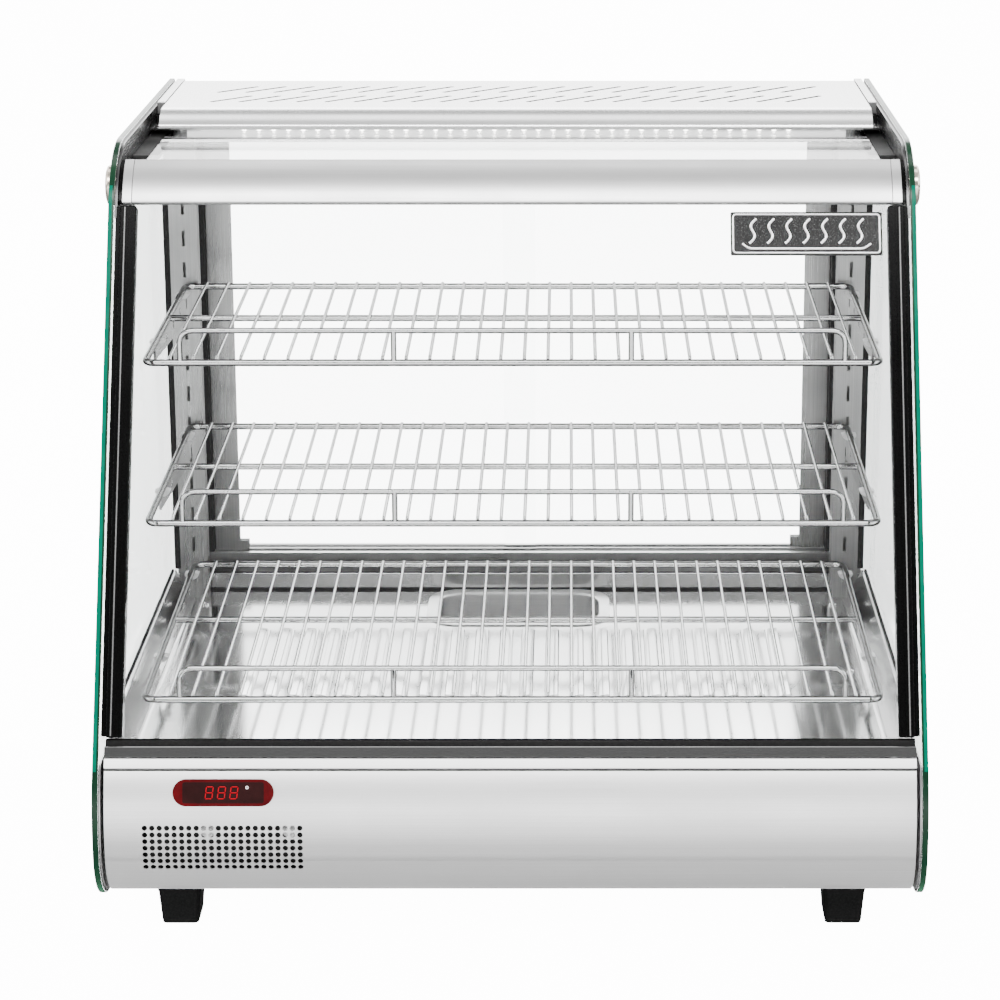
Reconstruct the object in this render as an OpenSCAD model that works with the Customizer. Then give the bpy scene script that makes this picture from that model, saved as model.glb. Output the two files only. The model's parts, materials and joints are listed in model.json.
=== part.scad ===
// Countertop hot food display case: glass sided heated cabinet on four feet.
// X runs across the front, -Y is the customer's side, +Z is up.
// The origin is on the table, under the middle of the cabinet.

/* [Body] */
// Width over the two side glasses
body_w = 678; // [640:1:760]
// Depth from the front bulge to the back edge of the side glass
body_d = 600; // [590:1:640]
// Height of the top edge of the side glass
body_h = 623; // [615:1:650]
// Height of the bottom edge of the side glass
under_h = 30; // [26:1:32]
// Lean of the front glass from the vertical, in degrees
lean = 24.3; // [23:0.1:25]

/* [Side profile] */
// Radius of the lower front corner
toe_r = 50; // [45:1:55]
// Radius between the base front and the sloping front glass
belly_r = 150; // [130:1:160]
// Height at which the base front starts to lean back
belly_z = 87; // [84:1:90]
// Radius of the upper front corner
brow_r = 73; // [70:1:76]

/* [Glass and sheet] */
// Thickness of the side, front and top glass
glass_t = 5; // [4:0.5:6]
// Thickness of the stainless sheet
sheet_t = 1.5; // [1:0.1:2]
// Inset of the front pieces from the edge of the side glass
inset = 3; // [2:0.5:4]

/* [Shelves] */
// Number of long wires in a shelf
wire_n = 30; // [20:1:34]
// Diameter of the long shelf wires
wire_d = 3; // [2.5:0.5:4]
// Diameter of the shelf frame rods
rod_d = 6; // [5:0.5:7]
// Height of the guard rail above the shelf
guard_h = 28; // [22:1:32]
// Heights of the back edges of the shelves, lowest first
shelf_z = [175.5, 313, 449];
// Y of the front rails of the shelves, lowest first
shelf_front = [-180, -126, -108];

/* [Floor] */
// Height of the food well's floor
floor_z = 140; // [136:1:142]
// Number of louvres on each half of the floor
louvre_n = 11; // [6:1:12]

/* [Front hinge] */
// Y of the hinge line of the front glass
hinge_y = -48; // [-50:1:-46]
// Height of the hinge line of the front glass
hinge_z = 585; // [583:1:587]
// Diameter of the hinge pins
pin_d = 8; // [6:0.5:9]
// Running clearance around a pin, on the radius
pin_gap = 0.08; // [0.05:0.01:0.1]

/* [Hidden] */
$fn = 48;

half_w = body_w / 2;
front_y = -body_d / 2;
back_y = body_d / 2;
glass_in = half_w - glass_t;

// centres of the three round corners of the side profile
toe_c = [front_y + toe_r, under_h + toe_r];
belly_c = [front_y + belly_r, belly_z];
slope_y = belly_c[0] - belly_r * cos(lean);
slope_z = belly_c[1] + belly_r * sin(lean);
brow_z = body_h - brow_r;
slope_len = (brow_z + brow_r * sin(lean) - slope_z) / cos(lean);
brow_y = slope_y + slope_len * sin(lean) + brow_r * cos(lean);
brow_c = [brow_y, brow_z];

// front stack on the slope, measured up the slope from the base panel
strip_s = 11.3;
channel_s = 20;
gasket_s = 26.6;

door_half = 329.5;
rail_top_a = 121;
rail_low_a = 180 - lean;
rail_t = 2.5;
side_bar_w = 14;
side_bar_d = 14;

pil_y = 162;
pil_x0 = 299;
pil_x1 = 325;
pil_d = 15;
slot_pitch = 30;
slot_low = floor_z + 16;
slot_h = 15;
arm_x = 311;
arm_t = 2;

sill_y = 185;
sill_z = 156.5;
track_y0 = 222;
track_y1 = 254;
post_x = 311;
door_edge = 299.5;
rear_y = 280;
ceiling_z = 606;
head_z = 570;
nose_y = 128;
nose_r = 30;
nose_a = 55;

shelf_half = 311;
shelf_back = 156;
shelf_lift_gap = 0.3;
wire_span = 289.8;
post_gap = 100.3;
guard_half = 281;

function arc(c, r, a0, a1, n) =
  [for (i = [0:n]) let (a = a0 + (a1 - a0) * i / n) [c[0] + r * cos(a), c[1] + r * sin(a)]];

// side profile, moved inwards by d
function toe(d) = arc(toe_c, toe_r - d, 270, 180, 8);
function belly(d) = arc(belly_c, belly_r - d, 180, 180 - lean, 4);
function brow(d) = arc(brow_c, brow_r - d, 180 - lean, 90, 8);
function profile(d) = concat([[back_y - d, under_h + d]], toe(d), belly(d), brow(d),
  [[back_y - d, body_h - d]]);
function front_low(d) = concat(toe(d), belly(d));

// a flat outline in Y and Z, drawn out from x0 to x1
module across(x0, x1) {
  translate([x0, 0, 0]) rotate([90, 0, 90]) linear_extrude(x1 - x0) children();
}

// places a piece on the slope: X across, Z up the slope, Y inwards
module on_slope() {
  translate([0, slope_y, slope_z]) rotate([-lean, 0, 0]) children();
}

// places a piece on the base front at the belly angle a
module on_belly(x, a) {
  translate([x, belly_c[0] - (belly_r - inset) * cos(a), belly_c[1] + (belly_r - inset) * sin(a)])
    rotate([-a, 0, 0]) children();
}

module box(lo, hi) {
  translate(lo) cube(hi - lo);
}

// a rod along X, Y or Z
module rod_x(x0, x1, y, z, d) {
  translate([x0, y, z]) rotate([0, 90, 0]) cylinder(h = x1 - x0, d = d);
}
module rod_y(x, y0, y1, z, d) {
  translate([x, y0, z]) rotate([-90, 0, 0]) cylinder(h = y1 - y0, d = d);
}
module rod_z(x, y, z0, z1, d) {
  translate([x, y, z0]) cylinder(h = z1 - z0, d = d);
}

module mirror_x() {
  mirror([1, 0, 0]) children();
}

// ---------- base ----------

// bottom sheet with rows of air slots
module base_pan() {
  slot_w = 6;
  color("gainsboro") difference() {
    box([-330, -230, under_h + inset], [330, rear_y - 2, under_h + inset + sheet_t]);
    for (x = [-120:24:120]) box([x - slot_w / 2, -70, 0], [x + slot_w / 2, 30, 60]);
  }
}

lens_x = -232.5;
lens_a = 17.6;
lens_w = 82;
lens_h = 22;
grille_x = -233.7;
grille_cols = 22;
grille_rows = 7;
grille_pitch = 6;
grille_low_z = 68.7;
grille_hole_d = 4;

// stadium outline of the display lens
module lens_outline(w, h) {
  union() {
    square([w - h, h], center = true);
    for (s = [-1, 1]) translate([s * (w - h) / 2, 0]) circle(d = h);
  }
}

// curved stainless front with the display cut-out and the grille
module base_front_panel() {
  color("silver") difference() {
    across(-329.5, 329.5)
      polygon(concat([[-232, under_h + inset]], front_low(inset),
        [for (i = [4:-1:0]) belly(inset + sheet_t)[i]],
        [for (i = [8:-1:0]) toe(inset + sheet_t)[i]], [[-232, under_h + inset + sheet_t]]));
    on_belly(lens_x, lens_a) translate([0, 10, 0]) rotate([90, 0, 0])
      linear_extrude(20) lens_outline(lens_w - 3, lens_h - 3);
    for (c = [0:grille_cols - 1], r = [0:grille_rows - 1])
      rod_y(grille_x + (c - (grille_cols - 1) / 2) * grille_pitch, front_y - 1, front_y + 16,
        grille_low_z + r * 5.7, grille_hole_d, $fn = 24);
  }
}

// bright flat strip between the base front and the glass channel
module front_sill_strip() {
  color("whitesmoke") on_slope() box([-330, inset, 0.4], [330, 14, strip_s - 0.2]);
}

// aluminium channel that the front glass closes on
module front_glass_channel() {
  color("darkgray") on_slope() difference() {
    box([-330, inset, strip_s], [330, 20, channel_s]);
    box([-331, inset + 3, channel_s - 4], [331, 16, channel_s + 1]);
  }
}

// black seal in the channel
module front_gasket() {
  color("#202020") on_slope() box([-329.5, inset + 3.1, channel_s - 3.9], [329.5, 15.9, gasket_s]);
}

module base_side() {
  color("darkgray") intersection() {
    across(glass_in - sheet_t, glass_in) polygon(profile(inset));
    box([0, front_y, 0], [half_w, rear_y + 2, 152]);
  }
}
module base_side_left() {
  mirror_x() base_side();
}
module base_side_right() {
  base_side();
}

rocker_z = 92;
power_x = -262;
light_x = -222;
knob_x = -165;
gland_x = 250;
gland_z = 70;
rocker_w = 19;
rocker_h = 27;

// service panel at the back, with switches, louvres and the lead entry
module base_rear_panel() {
  color("silver") difference() {
    box([-332, rear_y - sheet_t, under_h + inset], [332, rear_y, sill_z - sheet_t]);
    for (x = [power_x, light_x])
      box([x - rocker_w / 2 - 0.5, rear_y - 5, rocker_z - rocker_h / 2 - 0.5],
        [x + rocker_w / 2 + 0.5, rear_y + 5, rocker_z + rocker_h / 2 + 0.5]);
    rod_y(knob_x, rear_y - 5, rear_y + 5, rocker_z, 8);
    rod_y(gland_x, rear_y - 5, rear_y + 5, gland_z, 16);
    for (x = [-60:14:150]) box([x - 2, rear_y - 5, 62], [x + 2, rear_y + 5, 122]);
  }
}

floor_y0 = -259.5;
pan_x = 80;
pan_y0 = 88;
pan_y1 = 176;
pan_depth = 55;
louvre_pitch = 22.6;
louvre_y0 = -105;
louvre_y1 = 72;

// food well floor: louvred sheet with sloping side skirts and a front upstand
module floor_plate() {
  color("silver") difference() {
    union() {
      box([-312, floor_y0, floor_z - sheet_t], [312, sill_y - 0.5, floor_z]);
      box([-329, pil_y - 0.5, floor_z - sheet_t], [329, sill_y - 0.5, floor_z]);
      for (s = [0, 1]) mirror([s, 0, 0]) translate([0, pil_y - 0.5, 0]) rotate([90, 0, 0])
        linear_extrude(pil_y - 0.5 - floor_y0)
          polygon([[312, floor_z - sheet_t], [331, 166], [331, 168], [329, 168], [311, floor_z]]);
      box([-312, floor_y0, floor_z - sheet_t], [312, floor_y0 + sheet_t, 158]);
    }
    box([-pan_x, pan_y0, floor_z - 9], [pan_x, pan_y1, floor_z + 9]);
    for (s = [-1, 1], i = [0:louvre_n - 1])
      translate([s * (i + 0.6) * louvre_pitch, (louvre_y0 + louvre_y1) / 2, floor_z])
        cube([3, louvre_y1 - louvre_y0, 9], center = true);
    for (x = [-300, 300], y = [140, -40, -205]) rod_z(x, y, 130, 150, 3.4);
  }
}

// pan head screws that hold the floor down
module floor_screws() {
  color("lightgray") for (x = [-300, 300], y = [140, -40, -205]) {
    rod_z(x, y, floor_z - 8, floor_z + 0.1, 3);
    translate([x, y, floor_z]) cylinder(h = 2.2, d1 = 7.5, d2 = 5);
  }
}

// ---------- glass sides, posts and rear frame ----------

module side_glass() {
  color("#60a090", 0.5) difference() {
    across(glass_in, half_w) polygon(profile(0));
    rod_x(glass_in - 1, half_w + 1, hinge_y, hinge_z, 14);
  }
}
module side_glass_left() {
  mirror_x() side_glass();
}
module side_glass_right() {
  side_glass();
}

// slotted upright that the shelf arms hook into
module pilaster() {
  color("silver") difference() {
    box([pil_x0, pil_y, floor_z], [pil_x1, pil_y + pil_d, ceiling_z]);
    box([pil_x0 + 2, pil_y + 2, floor_z - 1], [pil_x1 - 2, pil_y + pil_d + 1, ceiling_z + 1]);
    for (z = [slot_low:slot_pitch:ceiling_z - 20])
      box([arm_x - 0.5, pil_y - 1, z], [arm_x + arm_t + 0.5, pil_y + 3, z + slot_h]);
  }
}
module pilaster_left() {
  mirror_x() pilaster();
}
module pilaster_right() {
  pilaster();
}

// square tube between the side glass and the sliding doors
module rear_post() {
  color("darkgray") difference() {
    box([post_x, sill_y, sill_z], [glass_in - 2.7, rear_y, ceiling_z]);
    box([post_x + 2, sill_y + 2, sill_z - 1], [glass_in - 4.7, rear_y - 2, ceiling_z + 1]);
  }
}
module rear_post_left() {
  mirror_x() rear_post();
}
module rear_post_right() {
  rear_post();
}

// black seals that the closed doors meet
module post_seals() {
  color("#202020") for (s = [0, 1]) mirror([s, 0, 0])
    box([door_edge + 0.4, track_y0 + 2, sill_z + 9.2], [post_x - 0.2, track_y1 - 2, head_z - 0.2]);
}

// folded sill under the sliding doors
module rear_sill() {
  color("silver") {
    box([-331, sill_y, floor_z - 4], [331, sill_y + sheet_t, sill_z - sheet_t]);
    box([-331, sill_y, sill_z - sheet_t], [331, rear_y, sill_z]);
  }
}

door_y0 = 229;
door_gap_y = 12;
door_t = 8;
door_low = 160;
door_high = 584;

// twin channel that the two doors run in
module track(z0, z1, web_z0, web_z1) {
  difference() {
    box([-310.8, track_y0, z0], [310.8, track_y1, z1]);
    for (k = [0, 1])
      box([-312, door_y0 - 1.5 + k * door_gap_y, web_z0],
        [312, door_y0 + door_t + 0.5 + k * door_gap_y, web_z1]);
  }
}
module lower_track() {
  color("dimgray") track(sill_z, sill_z + 9, door_low - 0.5, sill_z + 10);
}
module upper_track() {
  color("dimgray") track(head_z, head_z + 18, head_z - 1, door_high + 0.5);
}

// hollow beam across the back, above the doors
module rear_head() {
  color("silver") difference() {
    box([-310.8, track_y0, head_z + 18], [310.8, rear_y, ceiling_z]);
    box([-312, track_y0 + 2, head_z + 20], [312, rear_y - 2, ceiling_z - 2]);
  }
}

// mirror finished ceiling under the vented top
module ceiling_plate() {
  color("gainsboro") box([-331, 106, ceiling_z], [331, rear_y, ceiling_z + sheet_t]);
}

slot_n = 21;
slot_step = 26.5;
slot_len = 50;
slot_rows = [176, 231];

// vented top with a rounded nose
module top_panel() {
  nose_c = [nose_y, body_h - nose_r];
  color("whitesmoke") difference() {
    across(-322.5, 322.5)
      polygon(concat([[288, body_h]], arc(nose_c, nose_r, 90, 90 + nose_a, 8),
        [for (i = [8:-1:0]) arc(nose_c, nose_r - sheet_t, 90, 90 + nose_a, 8)[i]],
        [[286.5, body_h - sheet_t], [286.5, ceiling_z + 2], [288, ceiling_z + 2]]));
    for (y = slot_rows, i = [0:slot_n - 1])
      translate([(i - (slot_n - 1) / 2) * slot_step, y, body_h]) rotate([0, 0, 45])
        cube([slot_len, 2.2, 9], center = true);
  }
}

// inner plate along the upper edge of the side glass
module top_cheek() {
  color("darkgray") difference() {
    intersection() {
      across(glass_in - 2.5, glass_in) polygon(profile(inset));
      box([0, -100, 566], [half_w, rear_y + 6, body_h]);
    }
    rod_x(glass_in - 4, half_w, hinge_y, hinge_z, 14);
  }
}
module top_cheek_left() {
  mirror_x() top_cheek();
}
module top_cheek_right() {
  top_cheek();
}

trim_y0 = 161;

// bright square trims beside the top panel
module top_trims() {
  color("gainsboro") for (s = [0, 1]) mirror([s, 0, 0]) difference() {
    box([323.8, trim_y0, body_h - 11], [glass_in - 2.7, back_y - 1, body_h]);
    box([325.3, trim_y0 - 1, body_h - 9.5], [glass_in - 4.2, back_y, body_h - 1.5]);
  }
}

// black end plugs of the trims
module trim_plugs() {
  color("#303030") for (s = [0, 1]) mirror([s, 0, 0]) {
    box([323.8, trim_y0 - 4, body_h - 11], [glass_in - 2.7, trim_y0, body_h - 0.3]);
    box([325.5, trim_y0, body_h - 9.3], [glass_in - 4.4, trim_y0 + 10, body_h - 1.7]);
  }
}

top_glass_y0 = -54;
top_glass_z = 598;

module top_glass() {
  color("#a0c0c0", 0.4) box([-315.5, top_glass_y0, top_glass_z],
    [315.5, 122, top_glass_z + glass_t]);
}

// angle ledges that carry the edges of the top glass
module glass_ledges() {
  color("gray") for (s = [0, 1]) mirror([s, 0, 0]) {
    box([308, 0, top_glass_z - 3], [glass_in - 2.7, 150, top_glass_z]);
    box([316.5, 0, top_glass_z], [glass_in - 2.7, 150, top_glass_z + 4]);
  }
}

// aluminium channel for the light strip, behind the nose
module led_channel() {
  color("whitesmoke") difference() {
    box([-300, 124, ceiling_z - 14], [300, 142, ceiling_z]);
    box([-296, 126, ceiling_z - 15], [296, 140, ceiling_z - 10]);
  }
}
led_n = 38;
led_pitch = 13.4;
module led_strip() {
  color("ivory") {
    box([-295, 127, ceiling_z - 11.4], [295, 139, ceiling_z - 10]);
    for (i = [0:led_n - 1])
      translate([(i - (led_n - 1) / 2) * led_pitch, 133, ceiling_z - 12]) cube([5, 5, 1.4], center = true);
  }
}

// ---------- shelf supports ----------

arm_len = [250, 205, 205];
slope_drop = 0.02;

// Z of a shelf's rods at y, for shelf k
function shelf_rod_z(k, y) = shelf_z[k] - (shelf_back - y) * slope_drop;

// sheet arm hooked into the pilaster slots
module arm(k) {
  top_b = shelf_rod_z(k, pil_y) - rod_d / 2 - 3;
  top_f = shelf_rod_z(k, pil_y - arm_len[k]) - rod_d / 2 - 3;
  difference() {
    across(arm_x, arm_x + arm_t)
      polygon([[pil_y - 0.2, top_b - 26], [pil_y - 0.2, top_b],
        [pil_y - arm_len[k], top_f], [pil_y - arm_len[k], top_f - 10], [pil_y - 60, top_b - 24]]);
    for (i = [0:2])
      translate([0, pil_y - 45 - i * 45, top_b - 9 - i]) rotate([0, 90, 0])
        cylinder(h = 400, d = 8);
  }
}
// tongue that hooks an arm into the slot behind it
module tongue(k) {
  top_b = shelf_rod_z(k, pil_y) - rod_d / 2 - 3;
  slot = slot_low + slot_pitch * floor((top_b - 13 - slot_low) / slot_pitch);
  box([arm_x, pil_y - 1, max(slot + 1, top_b - 26)], [arm_x + arm_t, pil_y + 6, slot + slot_h - 1]);
}
module bracket_arms() {
  color("silver") for (k = [0:2]) {
    arm(k);
    tongue(k);
  }
}
module bracket_arms_left() {
  mirror_x() bracket_arms();
}
module bracket_arms_right() {
  bracket_arms();
}

// plastic saddles on the arms, under the shelf frames
module shelf_clips() {
  color("white") for (s = [0, 1], k = [0:2], d = [24, arm_len[k] - 14])
    mirror([s, 0, 0])
      translate([arm_x - 4, pil_y - d - 5, shelf_rod_z(k, pil_y - d) - rod_d / 2 - 2.8])
        cube([10, 10, 2.5]);
}

foot_x = 276;
foot_y = [-239, 240];
foot_w = 36;
foot_d = 40;

// moulded rubber feet
module feet() {
  color("#202020") for (x = [-foot_x, foot_x], y = foot_y) {
    translate([x, y, 0]) hull() {
      translate([0, 0, 0.5]) cube([foot_w - 6, foot_d - 6, 1], center = true);
      translate([0, 0, under_h + inset - 1]) cube([foot_w, foot_d, 2], center = true);
    }
  }
}

// ---------- controls, heat and air ----------

module display_lens() {
  color("darkred") on_belly(lens_x, lens_a) rotate([90, 0, 0]) {
    translate([0, 0, -6]) linear_extrude(6.8) lens_outline(lens_w - 3.4, lens_h - 3.4);
    translate([0, 0, 0.5]) linear_extrude(1.5) lens_outline(lens_w, lens_h);
  }
}

module display_module() {
  color("#303030") on_belly(lens_x, lens_a) box([-34, 6.2, -9], [34, 42, 9]);
}

heat_z = 108;
// tubular heater bent into a long hairpin
module heating_element() {
  color("dimgray") {
    for (y = [-80, 50]) rod_x(-200, 200, y, heat_z, 8);
    for (s = [0, 1]) mirror([s, 0, 0]) translate([200, -15, heat_z])
      rotate([0, 0, -90]) rotate_extrude(angle = 180) translate([65, 0]) circle(d = 8);
    for (x = [-150, 150]) box([x - 1, -92, under_h + inset + sheet_t], [x + 1, -88, heat_z + 8]);
    for (x = [-150, 150]) box([x - 1, -92, heat_z + 4], [x + 1, 62, heat_z + 8]);
  }
}

fan_y = -15;
fan_z0 = 46;
fan_h = 25;
// square fan casing with a ring and four spokes
module fan_frame() {
  color("#303030") {
    difference() {
      translate([0, fan_y, fan_z0 + fan_h / 2]) cube([120, 120, fan_h], center = true);
      rod_z(0, fan_y, fan_z0 - 1, fan_z0 + fan_h + 1, 112);
    }
    for (a = [0, 90]) translate([0, fan_y, fan_z0 + 1.5]) rotate([0, 0, a + 45])
      cube([114, 4, 3], center = true);
    rod_z(0, fan_y, fan_z0, fan_z0 + 6, 40);
    rod_z(0, fan_y, fan_z0 + 5, fan_z0 + 18, 5);
    for (x = [-56, 56], y = [-56, 56])
      rod_z(x, fan_y + y, under_h + inset + sheet_t, fan_z0, 6);
  }
}

// seven bladed impeller
module fan_rotor() {
  color("#202020") difference() {
    union() {
      rod_z(0, fan_y, fan_z0 + 8, fan_z0 + 23, 42);
      for (i = [0:6]) translate([0, fan_y, fan_z0 + 15.5]) rotate([0, 0, i * 360 / 7])
        rotate([28, 0, 0]) translate([18, -10, -1]) cube([34, 20, 2]);
    }
    rod_z(0, fan_y, fan_z0 + 5, fan_z0 + 19, 5.16);
  }
}

// cable gland for the mains lead
module power_gland() {
  color("#303030") difference() {
    union() {
      rod_y(gland_x, rear_y - 16, rear_y + 2, gland_z, 15.6);
      translate([gland_x, rear_y - 7, gland_z]) rotate([-90, 0, 0]) cylinder(h = 5.3, d = 24, $fn = 6);
      translate([gland_x, rear_y, gland_z]) rotate([-90, 0, 0]) cylinder(h = 6, d = 24, $fn = 6);
      rod_y(gland_x, rear_y + 6, rear_y + 14, gland_z, 17);
    }
    rod_y(gland_x, rear_y - 20, rear_y + 20, gland_z, 9.2);
  }
}

// rocker cap that tilts about its middle
module rocker(x, c) {
  color(c) translate([x, rear_y + 1, rocker_z]) rotate([90, 0, -90])
    translate([0, 0, -rocker_w / 2]) linear_extrude(rocker_w)
      polygon([[4, -rocker_h / 2 + 1], [4, rocker_h / 2 - 1], [-2, rocker_h / 2 - 1],
        [-1, 0], [-4, -rocker_h / 2 + 1]]);
}
module power_rocker() {
  rocker(power_x, "green");
}
module light_rocker() {
  rocker(light_x, "#202020");
}

// ribbed thermostat knob on its spindle
module thermostat_knob() {
  color("#202020") {
    rod_y(knob_x, rear_y - 12, rear_y + 1, rocker_z, 6);
    difference() {
      rod_y(knob_x, rear_y + 0.6, rear_y + 17, rocker_z, 36);
      for (a = [0:30:330]) translate([knob_x, rear_y + 4, rocker_z]) rotate([0, a, 0])
        translate([19, 0, 0]) rotate([-90, 0, 0]) cylinder(h = 20, d = 5);
    }
  }
}

// ---------- front glass assembly, hinged under the top ----------

cap_d = 35;
cap_h = 7;

// polished cap outside the side glass, with its hinge pin
module hinge_cap() {
  color("silver") {
    rod_x(half_w + 0.1, half_w + cap_h, hinge_y, hinge_z, cap_d);
    rod_x(glass_in - 2.8, half_w + 0.1, hinge_y, hinge_z, 13.6);
    rod_x(door_half - 9.6, glass_in - 2.5, hinge_y, hinge_z, pin_d);
  }
}
module hinge_cap_left() {
  mirror_x() hinge_cap();
}
module hinge_cap_right() {
  hinge_cap();
}

door_glass_y0 = 4.2;
door_glass_y1 = 8.2;
glass_s0 = gasket_s + 0.5;
glass_s1 = slope_len + 3;

module front_glass() {
  color("#a0c0c0", 0.35) on_slope()
    box([-326, door_glass_y0, glass_s0], [326, door_glass_y1, glass_s1]);
}

// slot that the top edge of the front glass sits in
module glass_slot(x) {
  on_slope() box([-x, door_glass_y0 - 0.2, slope_len - 9], [x, door_glass_y1 + 0.2, glass_s1 + 0.2]);
}

// curved bright rail that grips the top edge of the front glass
module front_rail() {
  rail_out = brow_r - inset;
  color("silver") difference() {
    union() {
      across(-319.8, 319.8)
        polygon(concat(arc(brow_c, rail_out, rail_low_a, rail_top_a, 8),
          arc(brow_c, rail_out - rail_t, rail_top_a, rail_low_a, 8)));
      on_slope() box([-319.8, inset + 0.4, slope_len - 1], [319.8, 12, slope_len + 6]);
    }
    glass_slot(321);
  }
}

// end cap of the rail, with the bore for the hinge pin
module rail_end() {
  rail_out = brow_r - inset;
  color("gray") difference() {
    across(door_half - 9.5, door_half - 1.5)
      polygon(concat(arc(brow_c, rail_out, rail_low_a + 0.5, rail_top_a, 8),
        arc([hinge_y, hinge_z], 14, 75, -120, 8), [[hinge_y - 26, hinge_z - 16]]));
    rod_x(door_half - 11, half_w, hinge_y, hinge_z, pin_d + 2 * pin_gap);
    glass_slot(330);
  }
}
module rail_end_left() {
  mirror_x() rail_end();
}
module rail_end_right() {
  rail_end();
}

// black bars along the side edges of the front glass
module front_side_bars() {
  color("#202020") on_slope() for (s = [0, 1]) mirror([s, 0, 0]) difference() {
    box([door_half - side_bar_w, inset - 1, glass_s0],
      [door_half, inset - 1 + side_bar_d, slope_len - 3.2]);
    box([door_half - side_bar_w - 1, door_glass_y0 - 0.1, glass_s0 - 1],
      [326.2, door_glass_y1 + 0.1, slope_len]);
  }
}

badge_x0 = 183;
badge_x1 = 310.5;
badge_s0 = 427;
badge_s1 = 464.5;
// plain name plate blank
module badge_plate() {
  color("dimgray") on_slope() box([badge_x0, door_glass_y0 - 2.4, badge_s0],
    [badge_x1, door_glass_y0 - 0.05, badge_s1]);
}

// ---------- sliding rear doors ----------

door_w = 314.5;
stile_w = 24;

// pane of a door; the door stands in track k, with its stile on side s
module door_glass(s, k) {
  y0 = door_y0 + 2 + k * door_gap_y;
  color("#a0c0c0", 0.35) mirror([s, 0, 0])
    box([door_edge - door_w, y0, door_low], [door_edge - stile_w + 6, y0 + 4, door_high]);
}

// the brushed stile of a door, with a finger pull and a foot block
module door_stile(s, k) {
  y0 = door_y0 + k * door_gap_y;
  mid_z = (door_low + door_high) / 2;
  color("darkgray") mirror([s, 0, 0]) difference() {
    union() {
      box([door_edge - stile_w, y0, door_low], [door_edge, y0 + door_t, door_high]);
      box([door_edge - stile_w - 9, y0, sill_z + 9.5], [door_edge, y0 + door_t, sill_z + 19.5]);
    }
    box([door_edge - stile_w - 10, y0 + 1.8, door_low - 1],
      [door_edge - stile_w + 6.2, y0 + 6.2, door_high + 1]);
    box([door_edge - 15, y0 + door_t - 1.4, mid_z - 30], [door_edge - 7, y0 + door_t + 1, mid_z + 30]);
  }
}
module rear_glass_left() {
  door_glass(1, 0);
}
module rear_stile_left() {
  door_stile(1, 0);
}
module rear_glass_right() {
  door_glass(0, 1);
}
module rear_stile_right() {
  door_stile(0, 1);
}

// ---------- lift-off pieces ----------

// welded wire shelf, sloping a little to the front, with a guard at the front
module shelf(k) {
  y0 = shelf_front[k];
  z0 = shelf_rod_z(k, y0);
  rise = shelf_z[k] - z0;
  run = shelf_back - y0;
  tilt = atan2(rise, run);
  len = run / cos(tilt);
  mid = run * 0.56;
  color("lightgray", 1) translate([0, y0, z0]) rotate([tilt, 0, 0]) {
    for (y = [0, mid, len]) rod_x(-shelf_half, shelf_half, y, 0, rod_d, $fn = 8);
    for (x = [-shelf_half, shelf_half]) rod_y(x, 0, len, 0, rod_d, $fn = 8);
    for (i = [0:wire_n - 1])
      rod_y(wire_span * (2 * i / (wire_n - 1) - 1), 0, len, rod_d / 2 + wire_d / 2 - 0.4, wire_d,
        $fn = 6);
    rod_x(-guard_half, guard_half, 0, guard_h, rod_d - 1, $fn = 8);
    for (x = [-guard_half, -post_gap, post_gap, guard_half])
      rod_z(x, 0, 0, guard_h, rod_d - 1, $fn = 8);
  }
}
module shelf_lower() {
  shelf(0);
}
module shelf_middle() {
  shelf(1);
}
module shelf_upper() {
  shelf(2);
}

pan_gap = 1.5;
pan_flange = 8;
// drop-in water pan with a flange all round
module water_pan() {
  lo = [-pan_x + pan_gap, pan_y0 + pan_gap];
  hi = [pan_x - pan_gap, pan_y1 - pan_gap];
  color("silver") {
    box([lo[0] - pan_flange, lo[1] - pan_flange, floor_z + 0.2],
      [hi[0] + pan_flange, lo[1] + 1.2, floor_z + 1.2]);
    box([lo[0] - pan_flange, hi[1] - 1.2, floor_z + 0.2],
      [hi[0] + pan_flange, hi[1] + pan_flange, floor_z + 1.2]);
    for (s = [0, 1]) mirror([s, 0, 0])
      box([hi[0] - 1.2, lo[1] - pan_flange, floor_z + 0.2],
        [hi[0] + pan_flange, hi[1] + pan_flange, floor_z + 1.2]);
    difference() {
      box([lo[0], lo[1], floor_z - pan_depth], [hi[0], hi[1], floor_z + 1.2]);
      box([lo[0] + 1.2, lo[1] + 1.2, floor_z - pan_depth + 1.2],
        [hi[0] - 1.2, hi[1] - 1.2, floor_z + 2]);
    }
  }
}

base_pan();
base_front_panel();
front_sill_strip();
front_glass_channel();
front_gasket();
base_side_left();
base_side_right();
base_rear_panel();
floor_plate();
floor_screws();
side_glass_left();
side_glass_right();
pilaster_left();
pilaster_right();
rear_post_left();
rear_post_right();
post_seals();
rear_sill();
lower_track();
upper_track();
rear_head();
ceiling_plate();
top_panel();
top_cheek_left();
top_cheek_right();
top_trims();
trim_plugs();
top_glass();
glass_ledges();
led_channel();
led_strip();
bracket_arms_left();
bracket_arms_right();
shelf_clips();
feet();
display_lens();
display_module();
heating_element();
fan_frame();
power_gland();
hinge_cap_left();
hinge_cap_right();
front_glass();
front_rail();
rail_end_left();
rail_end_right();
front_side_bars();
badge_plate();
rear_glass_left();
rear_stile_left();
rear_glass_right();
rear_stile_right();
shelf_lower();
shelf_middle();
shelf_upper();
water_pan();
power_rocker();
light_rocker();
thermostat_knob();
fan_rotor();
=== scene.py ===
import json
import math

import bmesh
import bpy
from mathutils import Matrix, Vector
from mathutils.geometry import delaunay_2d_cdt


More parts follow.
